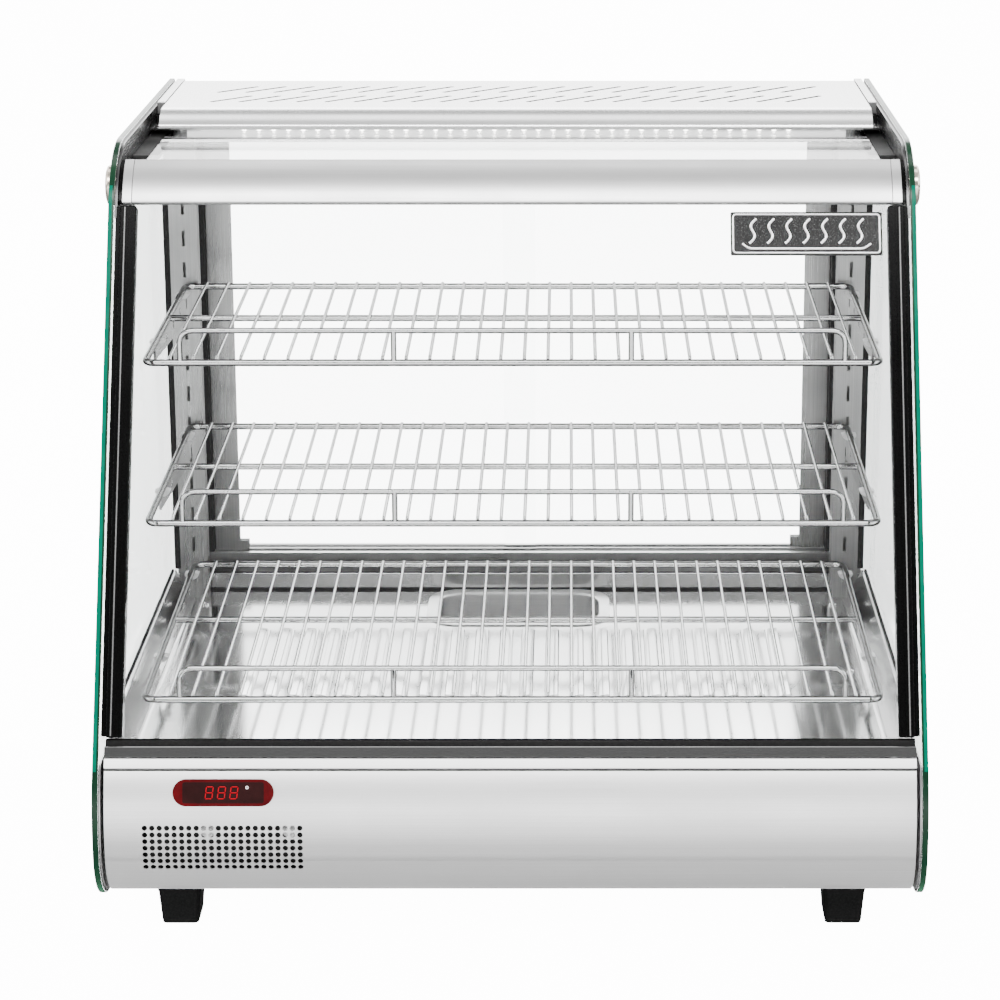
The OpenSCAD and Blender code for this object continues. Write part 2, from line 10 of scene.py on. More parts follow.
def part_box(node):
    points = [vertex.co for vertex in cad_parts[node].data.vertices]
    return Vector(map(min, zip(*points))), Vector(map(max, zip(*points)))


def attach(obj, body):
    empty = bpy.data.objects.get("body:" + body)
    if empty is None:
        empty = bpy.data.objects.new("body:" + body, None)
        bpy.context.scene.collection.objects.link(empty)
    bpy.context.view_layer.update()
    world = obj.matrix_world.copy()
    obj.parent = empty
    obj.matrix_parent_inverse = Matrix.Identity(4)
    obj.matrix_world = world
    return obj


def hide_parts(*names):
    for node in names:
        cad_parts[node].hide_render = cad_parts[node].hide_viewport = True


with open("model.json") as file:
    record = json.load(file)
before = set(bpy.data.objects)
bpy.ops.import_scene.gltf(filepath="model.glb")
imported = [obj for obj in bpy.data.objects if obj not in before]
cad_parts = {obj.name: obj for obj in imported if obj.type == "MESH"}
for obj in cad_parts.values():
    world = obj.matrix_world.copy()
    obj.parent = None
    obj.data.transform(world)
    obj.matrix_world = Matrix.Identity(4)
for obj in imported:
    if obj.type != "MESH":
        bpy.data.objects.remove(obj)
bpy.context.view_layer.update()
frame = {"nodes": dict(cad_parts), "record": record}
MM = 0.001

# ---------------------------------------------------------------- sizes in mm

LEAN = 24.3                           # degrees that the front leans back
INSET = 3.0                           # front sheet and rail lie this far inside the side glass's outline
TOE_R, BELLY_R, BROW_R = 50.0, 150.0, 73.0
TOE_C, BELLY_C = (-250.0, 80.0), (-150.0, 87.0)
BACK_Y, TOP_Z, UNDER_Z = 300.0, 623.0, 30.0
LEAN_COS, LEAN_SIN = math.cos(math.radians(LEAN)), math.sin(math.radians(LEAN))
SLOPE_Y = BELLY_C[0] - BELLY_R * LEAN_COS
SLOPE_Z = BELLY_C[1] + BELLY_R * LEAN_SIN
BROW_Z = TOP_Z - BROW_R
SLOPE_LEN = (BROW_Z + BROW_R * LEAN_SIN - SLOPE_Z) / LEAN_COS
BROW_C = (SLOPE_Y + SLOPE_LEN * LEAN_SIN + BROW_R * LEAN_COS, BROW_Z)
RAIL_TOP = 121.0                      # degrees on the brow's arc where the front rail ends
HINGE_Y, HINGE_Z = -48.0, 585.0
GLASS_IN, GLASS_OUT = 334.0, 339.0    # faces of the side glasses, from the middle
BACKED_BELOW, BACKED_ABOVE = 148.0, 592.0  # between these heights the glass edge is free and green
PRINT_BASE, PRINT_TOP = 150.0, 591.0  # the printed borders lie below and above these heights
FLOOR_Z = 140.0
SHEET = 1.5
PAN_Y = 132.0                         # middle of the water pan
FLOOR_SCREWS = [(x, y) for x in (-300, 300) for y in (140, -40, -205)]
LOUVRES, LOUVRE_PITCH, LOUVRE_LONG, LOUVRE_Y = 11, 22.6, 177.0, -16.5
SLOT_ROWS, SLOT_COUNT, SLOT_PITCH, SLOT_LONG, SLOT_WIDE = (176.0, 231.0), 21, 26.5, 50.0, 4.8
LED_COUNT, LED_PITCH = 38, 13.4
REAR_Y, CONTROL_Z = 280.0, 92.0       # face of the rear panel, and the height of its controls
ROCKER_XS, KNOB_X = (-262.0, -222.0), -165.0
SHELF_Z = (175.5, 313.0, 449.0)
SHELF_FRONT = (-180.0, -126.0, -108.0)
SHELF_BACK = 156.0
SHELF_DROP = 0.02                     # the shelves rise towards the back by this much of their depth
SHELF_HALF, GUARD_HALF, GUARD_RISE, WIRES_HALF = 311.0, 281.0, 28.0, 289.8
FRAME_R, CROSS_R, GUARD_R, WIRE_R = 3.0, 2.9, 2.45, 1.5
WIRE_COUNT = 30
WIRE_LIFT = FRAME_R + WIRE_R - 0.5    # the wires are welded half a millimetre into the frame

ON_SLOPE = Matrix.Translation((0, SLOPE_Y, SLOPE_Z)) @ Matrix.Rotation(math.radians(-LEAN), 4, "X")


# ---------------------------------------------------------------- geometry helpers

def arc(centre, radius, start, end, steps):
    """Points of an arc in Y and Z, angles in degrees."""
    points = []
    for i in range(steps + 1):
        a = math.radians(start + (end - start) * i / steps)
        points.append((centre[0] + radius * math.cos(a), centre[1] + radius * math.sin(a)))
    return points


def side_outline(inset, fine=20):
    """Outline of the side glass in Y and Z, moved inwards by inset."""
    return ([(BACK_Y - inset, UNDER_Z + inset)] + arc(TOE_C, TOE_R - inset, 270, 180, fine)
            + arc(BELLY_C, BELLY_R - inset, 180, 180 - LEAN, fine // 2)
            + arc(BROW_C, BROW_R - inset, 180 - LEAN, 90, fine) + [(BACK_Y - inset, TOP_Z - inset)])


def slope_point(x, depth, up):
    """A point on the sloping front: x across, up the slope, depth inwards."""
    return Vector((x, SLOPE_Y + depth * LEAN_COS + up * LEAN_SIN,
                   SLOPE_Z - depth * LEAN_SIN + up * LEAN_COS))


def slope_matrix(x, depth, up):
    """Frame on the slope: local X across, local Y up the slope, local Z outwards."""
    turn = Matrix.Rotation(math.radians(-LEAN), 4, "X") @ Matrix.Rotation(math.radians(90), 4, "X")
    return Matrix.Translation(slope_point(x, depth, up)) @ turn


def belly_matrix(x, angle):
    """Frame on the base front: local X across, local Y up, local Z outwards."""
    a = math.radians(angle)
    r = BELLY_R - INSET
    place = Matrix.Translation((x, BELLY_C[0] - r * math.cos(a), BELLY_C[1] + r * math.sin(a)))
    return place @ Matrix.Rotation(-a, 4, "X") @ Matrix.Rotation(math.radians(90), 4, "X")


def mesh_from(bm, name, smooth_angle=32.0):
    """A finished mesh in metres from a shape in millimetres, smooth up to the angle."""
    bmesh.ops.remove_doubles(bm, verts=bm.verts, dist=0.0005)
    bmesh.ops.recalc_face_normals(bm, faces=bm.faces)
    bmesh.ops.scale(bm, vec=(MM, MM, MM), verts=bm.verts)
    mesh = bpy.data.meshes.new(name)
    bm.to_mesh(mesh)
    bm.free()
    mesh.polygons.foreach_set("use_smooth", [True] * len(mesh.polygons))
    mesh.set_sharp_from_angle(angle=math.radians(smooth_angle))
    return mesh


def in_scene(name, data):
    """A new object that is part of the scene."""
    made = bpy.data.objects.new(name, data)
    bpy.context.scene.collection.objects.link(made)
    return made


def settled(carrier):
    """The plain mesh of an object with its modifiers worked in; the object itself goes."""
    bpy.context.view_layer.update()
    ready = carrier.evaluated_get(bpy.context.evaluated_depsgraph_get())
    mesh = bpy.data.meshes.new_from_object(ready)
    carrier.modifiers.clear()
    bpy.data.objects.remove(carrier)
    return mesh


def even_shading(mesh):
    """Keeps broad faces flat beside their small roundings."""
    carrier = in_scene("carrier", mesh)
    carrier.modifiers.new("even_shading", "WEIGHTED_NORMAL").keep_sharp = True
    ready = settled(carrier)
    ready.name = mesh.name
    return ready


def grown(name, start, tree, given):
    """The plain mesh that a Geometry Nodes tree makes from a start mesh and its named inputs."""
    carrier = in_scene(name, start)
    live = carrier.modifiers.new(name, "NODES")
    live.node_group = tree
    for item in tree.interface.items_tree:
        if item.in_out == "INPUT" and item.name in given:
            live[item.identifier] = given[item.name]
    return settled(carrier)


def piece(name, mesh, body, slot, *materials, replaces=()):
    """Adds a finished mesh as a piece that rides on a body."""
    for paint in materials:
        if paint.name not in [m.name for m in mesh.materials if m]:
            mesh.materials.append(paint)
    made = in_scene(name, even_shading(mesh))
    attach(made, body)
    if replaces:
        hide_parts(*replaces)
    return made


def bevel_sharp(bm, width, segments=2, angle=30.0):
    """Rounds every edge that is sharper than the angle."""
    limit = math.radians(angle)
    sharp = [e for e in bm.edges if len(e.link_faces) == 2 and e.calc_face_angle(0) > limit]
    bmesh.ops.bevel(bm, geom=sharp, offset=width, offset_type="OFFSET", segments=segments,
                    profile=0.5, affect="EDGES", clamp_overlap=True)


def add_box(bm, low, high, round_by=0.0, segments=2):
    """A box between two corners, with its edges rounded."""
    part = bmesh.new()
    bmesh.ops.create_cube(part, size=1)
    size = [high[i] - low[i] for i in range(3)]
    bmesh.ops.scale(part, vec=size, verts=part.verts)
    bmesh.ops.translate(part, vec=[(high[i] + low[i]) / 2 for i in range(3)], verts=part.verts)
    if round_by:
        bevel_sharp(part, round_by, segments)
    join(bm, part)


def add_side_box(bm, side, reach, low, high, round_by=0.0, segments=2):
    """A box between two distances from the middle, on side 1 or -1; low and high are in Y and Z."""
    x0, x1 = sorted(side * x for x in reach)
    add_box(bm, (x0, *low), (x1, *high), round_by, segments)


def join(bm, part, matrix=None):
    """Adds the geometry of part to bm."""
    if matrix is not None:
        part.transform(matrix)
    carrier = bpy.data.meshes.new("carrier")
    part.to_mesh(carrier)
    part.free()
    bm.from_mesh(carrier)
    bpy.data.meshes.remove(carrier)


def prism(outline, start, end, round_by=0.0, segments=2, along_y=False):
    """A closed outline in Y and Z drawn out along X, or one in X and Z drawn out along Y."""
    bm = bmesh.new()
    near, far = [[bm.verts.new((across, reach, z) if along_y else (reach, across, z))
                  for across, z in outline] for reach in (start, end)]
    count = len(outline)
    bm.faces.new(near)
    bm.faces.new(list(reversed(far)))
    for i in range(count):
        j = (i + 1) % count
        bm.faces.new((near[i], far[i], far[j], near[j]))
    bmesh.ops.recalc_face_normals(bm, faces=bm.faces)
    if round_by:
        bevel_sharp(bm, round_by, segments, 40.0)
    return bm


def plate(outline, thickness, round_by=0.0):
    """A flat outline in local X and Y with its thickness up local Z."""
    bm = bmesh.new()
    low = [bm.verts.new((x, y, 0)) for x, y in outline]
    top = [bm.verts.new((x, y, thickness)) for x, y in outline]
    bm.faces.new(list(reversed(low)))
    bm.faces.new(top)
    for i in range(len(outline)):
        j = (i + 1) % len(outline)
        bm.faces.new((low[i], low[j], top[j], top[i]))
    if round_by:
        rim = [e for e in bm.edges if all(v in top for v in e.verts)]
        bmesh.ops.bevel(bm, geom=rim, offset=round_by, segments=3, profile=0.5, affect="EDGES")
    return bm


def loft(bm, rings, round_again=False):
    """Skins rings of vertices; the ends are closed unless the last ring meets the first."""
    for a, b in zip(rings, rings[1:] + (rings[:1] if round_again else [])):
        for k in range(len(a)):
            n = (k + 1) % len(a)
            bm.faces.new((a[k], a[n], b[n], b[k]))
    if not round_again:
        bm.faces.new(list(reversed(rings[0])))
        bm.faces.new(rings[-1])


def stack(layers):
    """A closed shape from flat outlines, each with its height."""
    bm = bmesh.new()
    loft(bm, [[bm.verts.new((x, y, z)) for x, y in outline] for outline, z in layers])
    return bm


def rounded_rect(width, height, radius, steps=6, cx=0.0, cy=0.0):
    """Outline of a rectangle with rounded corners."""
    points = []
    for sx, sy, start in ((1, 1, 0), (-1, 1, 90), (-1, -1, 180), (1, -1, 270)):
        x, y = cx + sx * (width / 2 - radius), cy + sy * (height / 2 - radius)
        for i in range(steps + 1):
            a = math.radians(start + 90 * i / steps)
            points.append((x + radius * math.cos(a), y + radius * math.sin(a)))
    return points


def round_corners(points, radius, steps=5, closed=False):
    """A path with its corners rounded."""
    out = []
    count = len(points)
    for i, p in enumerate(points):
        p = Vector(p)
        if not closed and i in (0, count - 1):
            out.append(p)
            continue
        a, b = Vector(points[i - 1]), Vector(points[(i + 1) % count])
        r = min(radius, (a - p).length * 0.45, (b - p).length * 0.45)
        start, end = p + (a - p).normalized() * r, p + (b - p).normalized() * r
        for k in range(steps + 1):
            t = k / steps
            out.append((1 - t) ** 2 * start + 2 * t * (1 - t) * p + t * t * end)
    return out


def add_tube(bm, path, radius, sides=10, closed=False):
    """A round rod along a path."""
    path = [Vector(p) for p in path]
    count = len(path)
    tangents = []
    for i in range(count):
        a = path[i - 1] if i or closed else path[0]
        b = path[(i + 1) % count] if i < count - 1 or closed else path[-1]
        tangents.append((b - a).normalized())
    side = tangents[0].orthogonal().normalized()
    rings = []
    for p, t in zip(path, tangents):
        side = (side - t * side.dot(t)).normalized()
        other = t.cross(side)
        rings.append([bm.verts.new(p + radius * (math.cos(2 * math.pi * k / sides) * side
                                                 + math.sin(2 * math.pi * k / sides) * other))
                      for k in range(sides)])
    for i in range(count if closed else count - 1):
        low, top = rings[i], rings[(i + 1) % count]
        shift = 0
        if closed and i == count - 1:
            shift = min(range(sides), key=lambda s: (low[0].co - top[s].co).length)
        for k in range(sides):
            n = (k + 1) % sides
            bm.faces.new((low[k], low[n], top[(n + shift) % sides], top[(k + shift) % sides]))
    if not closed:
        bm.faces.new(list(reversed(rings[0])))
        bm.faces.new(rings[-1])


def inside(point, outline):
    """Whether a point lies within a closed outline."""
    hit = False
    x, y = point
    for i in range(len(outline)):
        (x1, y1), (x2, y2) = outline[i - 1], outline[i]
        if (y1 > y) != (y2 > y) and x < (x2 - x1) * (y - y1) / (y2 - y1) + x1:
            hit = not hit
    return hit


def punched_sheet(u0, u1, v_lines, holes, place, thickness):
    """A sheet with holes, laid out flat in u and v, then folded to shape by place."""
    points, edges = [], []
    for v in v_lines:
        points += [Vector((u0, v)), Vector((u1, v))]
        edges.append((len(points) - 2, len(points) - 1))
    rows = len(v_lines)
    for side in (0, 1):
        edges += [(2 * i + side, 2 * i + 2 + side) for i in range(rows - 1)]
    for hole in holes:
        first = len(points)
        points += [Vector(p) for p in hole]
        edges += [(first + i, first + (i + 1) % len(hole)) for i in range(len(hole))]
    verts, _, faces, *_ = delaunay_2d_cdt(points, edges, [], 0, 1e-5)
    spans = [(hole, min(p[0] for p in hole), max(p[0] for p in hole),
              min(p[1] for p in hole), max(p[1] for p in hole)) for hole in holes]
    bm = bmesh.new()
    made = [bm.verts.new(place(v.x, v.y)) for v in verts]
    for face in faces:
        cx = sum(verts[i].x for i in face) / len(face)
        cy = sum(verts[i].y for i in face) / len(face)
        if any(a < cx < b and c < cy < d and inside((cx, cy), hole) for hole, a, b, c, d in spans):
            continue
        bm.faces.new([made[i] for i in face])
    loose = [v for v in bm.verts if not v.link_faces]
    bmesh.ops.delete(bm, geom=loose, context="VERTS")
    bmesh.ops.recalc_face_normals(bm, faces=bm.faces)
    bmesh.ops.solidify(bm, geom=bm.faces[:], thickness=thickness)
    return bm


def fold_along(line):
    """Lengths along a line in Y and Z, and the function that folds a flat sheet onto it."""
    lengths = [0.0]
    for (y0, z0), (y1, z1) in zip(line, line[1:]):
        lengths.append(lengths[-1] + math.hypot(y1 - y0, z1 - z0))

    def place(u, v):
        last = len(line) - 2
        i = next((i for i in range(last) if v <= lengths[i + 1] + 1e-6), last)
        t = (v - lengths[i]) / max(lengths[i + 1] - lengths[i], 1e-9)
        (y0, z0), (y1, z1) = line[i], line[i + 1]
        return u, y0 + t * (y1 - y0), z0 + t * (z1 - z0)
    return lengths, place


def circle(cx, cy, radius, steps=16):
    """Points round a circle."""
    turns = [2 * math.pi * k / steps for k in range(steps)]
    return [(cx + radius * math.cos(a), cy + radius * math.sin(a)) for a in turns]


# ---------------------------------------------------------------- material groups

def group_tree(name, inputs, outputs):
    """An empty shader group with its named sockets."""
    tree = bpy.data.node_groups.new(name, "ShaderNodeTree")
    for label, kind, value in inputs:
        tree.interface.new_socket(label, in_out="INPUT", socket_type=kind).default_value = value
    for label, kind in outputs:
        tree.interface.new_socket(label, in_out="OUTPUT", socket_type=kind)
    return tree, tree.nodes.new("NodeGroupInput"), tree.nodes.new("NodeGroupOutput")


def node(tree, kind, links=(), **settings):
    """A node with its settings; inputs by name or number come from links or values."""
    made = tree.nodes.new(kind)
    for key, value in settings.items():
        setattr(made, key, value)
    for socket, source in links:
        if isinstance(source, bpy.types.NodeSocket):
            tree.links.new(source, made.inputs[socket])
        else:
            made.inputs[socket].default_value = source
    return made


def put_out(tree, leave, **sources):
    """Links each named output of a group and gives the group back."""
    for label, source in sources.items():
        tree.links.new(source, leave.inputs[label])
    return tree


def grain_group():
    """Fine brushed streaks, drawn out along the axis with the smallest stretch, and soft smudges."""
    tree, enter, leave = group_tree(
        "brushed_grain",
        [("Stretch", "NodeSocketVector", (3, 900, 900)), ("Dark", "NodeSocketColor", (0.6, 0.6, 0.6, 1)),
         ("Light", "NodeSocketColor", (0.8, 0.8, 0.8, 1)), ("Smooth", "NodeSocketFloat", 0.2),
         ("Rough", "NodeSocketFloat", 0.35), ("Depth", "NodeSocketFloat", 0.02)],
        [("Color", "NodeSocketColor"), ("Roughness", "NodeSocketFloat"), ("Normal", "NodeSocketVector")])
    where = node(tree, "ShaderNodeTexCoord")
    stretched = node(tree, "ShaderNodeVectorMath",
                     [(0, where.outputs["Object"]), (1, enter.outputs["Stretch"])], operation="MULTIPLY")
    streaks = node(tree, "ShaderNodeTexNoise", [("Vector", stretched.outputs[0]), ("Scale", 1.0),
                                                ("Detail", 3.0), ("Roughness", 0.6)])
    smudge = node(tree, "ShaderNodeTexNoise", [("Vector", where.outputs["Object"]), ("Scale", 9.0),
                                               ("Detail", 4.0), ("Roughness", 0.55)])
    blend = node(tree, "ShaderNodeMath", [(0, streaks.outputs[0]), (1, smudge.outputs[0])],
                 operation="MULTIPLY")
    spread = node(tree, "ShaderNodeMapRange", [(0, blend.outputs[0]), (1, 0.12), (2, 0.42)])
    colour = node(tree, "ShaderNodeMix", [(0, spread.outputs[0]), (6, enter.outputs["Dark"]),
                                          (7, enter.outputs["Light"])], data_type="RGBA")
    rough = node(tree, "ShaderNodeMapRange", [(0, spread.outputs[0]), (3, enter.outputs["Rough"]),
                                              (4, enter.outputs["Smooth"])])
    bump = node(tree, "ShaderNodeBump", [("Height", streaks.outputs[0]), ("Distance", 0.0004),
                                         ("Strength", enter.outputs["Depth"])])
    return put_out(tree, leave, Color=colour.outputs[2], Roughness=rough.outputs[0], Normal=bump.outputs[0])


def speckle_group():
    """Moulded or enamelled surface: fine speckle, faint cloudiness and a shallow orange peel."""
    tree, enter, leave = group_tree(
        "fine_speckle",
        [("Scale", "NodeSocketFloat", 900.0), ("Base", "NodeSocketColor", (0.02, 0.02, 0.02, 1)),
         ("Fleck", "NodeSocketColor", (0.05, 0.05, 0.05, 1)), ("Amount", "NodeSocketFloat", 0.5),
         ("Smooth", "NodeSocketFloat", 0.35), ("Rough", "NodeSocketFloat", 0.55),
         ("Depth", "NodeSocketFloat", 0.1)],
        [("Color", "NodeSocketColor"), ("Roughness", "NodeSocketFloat"), ("Normal", "NodeSocketVector")])
    where = node(tree, "ShaderNodeTexCoord")
    fleck = node(tree, "ShaderNodeTexNoise", [("Vector", where.outputs["Object"]), ("Detail", 2.0),
                                              ("Scale", enter.outputs["Scale"])])
    cloud = node(tree, "ShaderNodeTexNoise", [("Vector", where.outputs["Object"]), ("Scale", 14.0),
                                              ("Detail", 3.0)])
    edge = node(tree, "ShaderNodeMath", [(0, 0.78), (1, enter.outputs["Amount"])], operation="SUBTRACT")
    mask = node(tree, "ShaderNodeMapRange", [(0, fleck.outputs[0]), (1, edge.outputs[0]), (2, 0.8)])
    colour = node(tree, "ShaderNodeMix", [(0, mask.outputs[0]), (6, enter.outputs["Base"]),
                                          (7, enter.outputs["Fleck"])], data_type="RGBA")
    rough = node(tree, "ShaderNodeMapRange", [(0, cloud.outputs[0]), (1, 0.3), (2, 0.7),
                                              (3, enter.outputs["Smooth"]), (4, enter.outputs["Rough"])])
    bump = node(tree, "ShaderNodeBump", [("Height", fleck.outputs[0]), ("Distance", 0.0002),
                                         ("Strength", enter.outputs["Depth"])])
    return put_out(tree, leave, Color=colour.outputs[2], Roughness=rough.outputs[0], Normal=bump.outputs[0])


def tint_group():
    """Glass tint that varies very slightly, with a faint waviness in the surface."""
    tree, enter, leave = group_tree(
        "glass_tint",
        [("Thin", "NodeSocketColor", (1, 1, 1, 1)), ("Thick", "NodeSocketColor", (0.9, 1, 0.95, 1))],
        [("Color", "NodeSocketColor"), ("Normal", "NodeSocketVector")])
    where = node(tree, "ShaderNodeTexCoord")
    wave = node(tree, "ShaderNodeTexNoise", [("Vector", where.outputs["Object"]), ("Scale", 3.5)])
    colour = node(tree, "ShaderNodeMix", [(0, wave.outputs[0]), (6, enter.outputs["Thin"]),
                                          (7, enter.outputs["Thick"])], data_type="RGBA")
    bump = node(tree, "ShaderNodeBump", [("Height", wave.outputs[0]), ("Distance", 0.001),
                                         ("Strength", 0.02)])
    return put_out(tree, leave, Color=colour.outputs[2], Normal=bump.outputs[0])


GRAIN, SPECKLE, TINT = grain_group(), speckle_group(), tint_group()


def shader_of(made):
    """The Principled shader of a material."""
    return next(n for n in made.node_tree.nodes if n.type == "BSDF_PRINCIPLED")


def material(name, group, feeds, values, constants):
    """A material whose varying inputs come from one shared group."""
    made = bpy.data.materials.new(name)
    made.use_nodes = True
    tree, surface = made.node_tree, shader_of(made)
    look = tree.nodes.new("ShaderNodeGroup")
    look.node_tree = group
    for key, value in values.items():
        look.inputs[key].default_value = value
    for source, target in feeds:
        tree.links.new(look.outputs[source], surface.inputs[target])
    for key, value in constants.items():
        surface.inputs[key].default_value = value
    return made


LOOK = (("Color", "Base Color"), ("Roughness", "Roughness"), ("Normal", "Normal"))


def grey(value):
    """A plain grey as a colour."""
    return (value, value, value, 1)


def steel(name, dark, light, smooth, rough, stretch, depth=0.03):
    """Brushed metal; the grain runs along the axis with the smallest stretch."""
    return material(name, GRAIN, LOOK, {"Stretch": stretch, "Dark": grey(dark), "Light": grey(light),
                                        "Smooth": smooth, "Rough": rough, "Depth": depth}, {"Metallic": 1.0})


def shade_over(made, mask, value):
    """Paints shade into the base colour of a material: it falls off to a grey where the mask is full."""
    tree = made.node_tree
    look = next(n for n in tree.nodes if n.type == "GROUP")
    shade = node(tree, "ShaderNodeMix", [(0, mask), (6, look.outputs["Color"]), (7, grey(value))],
                 data_type="RGBA")
    tree.links.new(shade.outputs[2], shader_of(made).inputs["Base Color"])
    return made


def chrome(name, light, start, end):
    """Bright plated rod whose sides fall off to dark grey by viewing angle, a painted reflection of dark
    surroundings.
    """
    made = steel(name, light * 0.9, light, 0.05, 0.12, (60, 60, 60), 0.01)
    tree = made.node_tree
    # Painted reflection: the base colour falls to dark grey as the surface turns away from the view.
    facing = node(tree, "ShaderNodeLayerWeight", [("Blend", 0.5)])
    rim = node(tree, "ShaderNodeMapRange", [(0, facing.outputs["Facing"]), (1, start), (2, end)],
               interpolation_type="SMOOTHSTEP")
    return shade_over(made, rim.outputs[0], 0.03)


ALONG_X, ALONG_Z, ALONG_Y = (4, 1400, 1400), (1400, 1400, 4), (1400, 4, 1400)
STAINLESS = steel("stainless_brushed_across", 0.50, 0.62, 0.24, 0.34, ALONG_X)
STAINLESS_UP = steel("stainless_brushed_upright", 0.36, 0.56, 0.22, 0.36, ALONG_Z, 0.05)
STAINLESS_BACK = steel("stainless_brushed_deep", 0.50, 0.62, 0.22, 0.32, ALONG_Y)
FRONT_STEEL = steel("stainless_base_front", 0.76, 0.88, 0.28, 0.36, ALONG_X, 0.02)
TOP_STEEL = steel("stainless_top_sheet", 0.68, 0.8, 0.22, 0.3, ALONG_Y, 0.02)
RAIL_STEEL = steel("stainless_fascia_rail", 0.46, 0.54, 0.3, 0.38, ALONG_X, 0.015)
POLISHED = steel("polished_steel_sheet", 0.72, 0.84, 0.05, 0.16, ALONG_Y, 0.015)
BRIGHT = steel("bright_steel_trim", 0.66, 0.78, 0.12, 0.24, ALONG_X, 0.01)
ALUMINIUM = steel("satin_aluminium", 0.46, 0.58, 0.26, 0.4, ALONG_X, 0.02)
CHANNEL = steel("satin_glass_channel", 0.11, 0.17, 0.2, 0.28, ALONG_X, 0.02)
ALUMINIUM_UP = steel("satin_aluminium_upright", 0.34, 0.48, 0.26, 0.4, ALONG_Z, 0.03)
CAP = material("polished_hinge_cap", GRAIN, LOOK,
               {"Stretch": (200, 200, 200), "Dark": (0.56, 0.5, 0.42, 1), "Light": (0.72, 0.67, 0.58, 1),
                "Smooth": 0.12, "Rough": 0.24, "Depth": 0.02}, {"Metallic": 1.0})
# Both plated finishes carry painted reflection in their dark flanks; the rod finish is darker, with wider
# painted flanks.
CHROME = chrome("chrome_plated_wire", 0.88, 0.45, 0.85)
ROD = chrome("chrome_plated_rod", 0.72, 0.08, 0.42)
FLOOR_STEEL = steel("bright_food_well_steel", 0.78, 0.9, 0.08, 0.18, ALONG_Y, 0.02)
PAN_STEEL = steel("drawn_pan_steel", 0.66, 0.78, 0.3, 0.42, ALONG_X, 0.02)
TRACK = steel("satin_door_track", 0.6, 0.72, 0.26, 0.4, ALONG_X, 0.02)
BRIGHT_DEEP = steel("bright_trim_in_depth", 0.6, 0.72, 0.14, 0.26, ALONG_Y, 0.02)
# Painted shade: the cheek plates are stainless, given a near-black base colour for the shade on their inward
# faces.
CHEEK_PAINTED_SHADE = steel("dark_cheek_steel", 0.05, 0.12, 0.2, 0.34, ALONG_Y, 0.03)
HEATER = steel("heat_darkened_steel", 0.12, 0.24, 0.35, 0.6, (80, 300, 300), 0.1)


def enamel(name, base, fleck, smooth, rough, scale=900.0, amount=0.4, depth=0.1, specular=0.5,
           light=(1, 1, 1, 1), strength=0.0):
    """Moulded, painted or rubber surface with a fine fleck in it; light and strength make it glow."""
    return material(name, SPECKLE, LOOK, {"Scale": scale, "Base": base, "Fleck": fleck, "Amount": amount,
                                          "Smooth": smooth, "Rough": rough, "Depth": depth},
                    {"Specular IOR Level": specular, "Emission Color": light, "Emission Strength": strength})


RUBBER = enamel("black_rubber", grey(0.004), grey(0.01), 0.45, 0.7, 700.0, specular=0.1)
PLASTIC = enamel("black_plastic", grey(0.005), grey(0.014), 0.3, 0.48, 1200.0, specular=0.35)
BAR = enamel("black_glass_bar", grey(0.001), grey(0.003), 0.14, 0.22, depth=0.02, specular=0.05)
# Painted highlight: the light grey stands for the light caught along the ridge of each black bar.
BAR_PAINTED_HIGHLIGHT = enamel("grey_bar_line", grey(0.10), grey(0.14), 0.3, 0.4, depth=0.02)
WHITE_PLASTIC = enamel("white_plastic", grey(0.78), grey(0.88), 0.25, 0.4, 500.0, depth=0.04)
PRINT = enamel("black_printed_border", grey(0.006), grey(0.01), 0.2, 0.3, 300.0, depth=0.02)
BADGE_FACE = enamel("badge_speckled_face", grey(0.012), grey(0.16), 0.4, 0.6, 1500.0, amount=0.22,
                    depth=0.15, specular=0.12)
GREEN_ROCKER = enamel("green_rocker", (0.01, 0.28, 0.06, 1), (0.02, 0.36, 0.09, 1), 0.12, 0.22, 300.0,
                      depth=0.02)
LENS = enamel("red_display_lens", (0.045, 0.0, 0.001, 1), (0.085, 0.0, 0.002, 1), 0.06, 0.14, 90.0,
              depth=0.01, specular=0.35)
LENS_WINDOW = enamel("dark_display_window", (0.014, 0.004, 0.004, 1), (0.022, 0.006, 0.006, 1), 0.12, 0.2,
                     90.0, depth=0.01, specular=0.12)
# Painted light: the free green edge glows with light of its own, standing for light carried along the glass;
# the backed edge is a painted darker green without glow.
GLASS_EDGE = enamel("green_glass_edge", (0.0, 0.05, 0.032, 1), (0.001, 0.07, 0.045, 1), 0.12, 0.25, 60.0,
                    depth=0.02, specular=0.04, light=(0.0, 0.3, 0.17, 1), strength=0.42)
GLASS_EDGE_DARK = enamel("backed_glass_edge", (0.001, 0.016, 0.007, 1), (0.004, 0.026, 0.011, 1), 0.12,
                         0.25, 60.0, depth=0.02, specular=0.2)
MAT_AND_SLOT_SHADE = enamel("dark_insulation_mat", grey(0.006), grey(0.015), 0.8, 0.95, 260.0, depth=0.4, specular=0.1)
PLUG = enamel("grey_end_plug", grey(0.1), grey(0.14), 0.25, 0.4, 600.0)
# Painted light: the white channel round the lights glows with emission of its own, though it is no lamp.
WHITE_METAL_PAINTED_GLOW = enamel("white_coated_channel", grey(0.75), grey(0.85), 0.3, 0.45, 400.0, depth=0.02,
                     strength=1.6)


def glass(name, thin, thick):
    """Clear glass between two faint tints."""
    return material(name, TINT, (("Color", "Base Color"), ("Normal", "Normal")),
                    {"Thin": thin, "Thick": thick},
                    {"Roughness": 0.0, "Transmission Weight": 1.0, "IOR": 1.45, "Metallic": 0.0})


CLEAR = glass("clear_toughened_glass", (0.99, 0.996, 0.994, 1), (0.975, 0.985, 0.982, 1))
SIDE_CLEAR = glass("clear_side_glass", (0.98, 0.995, 0.99, 1), (0.955, 0.98, 0.972, 1))


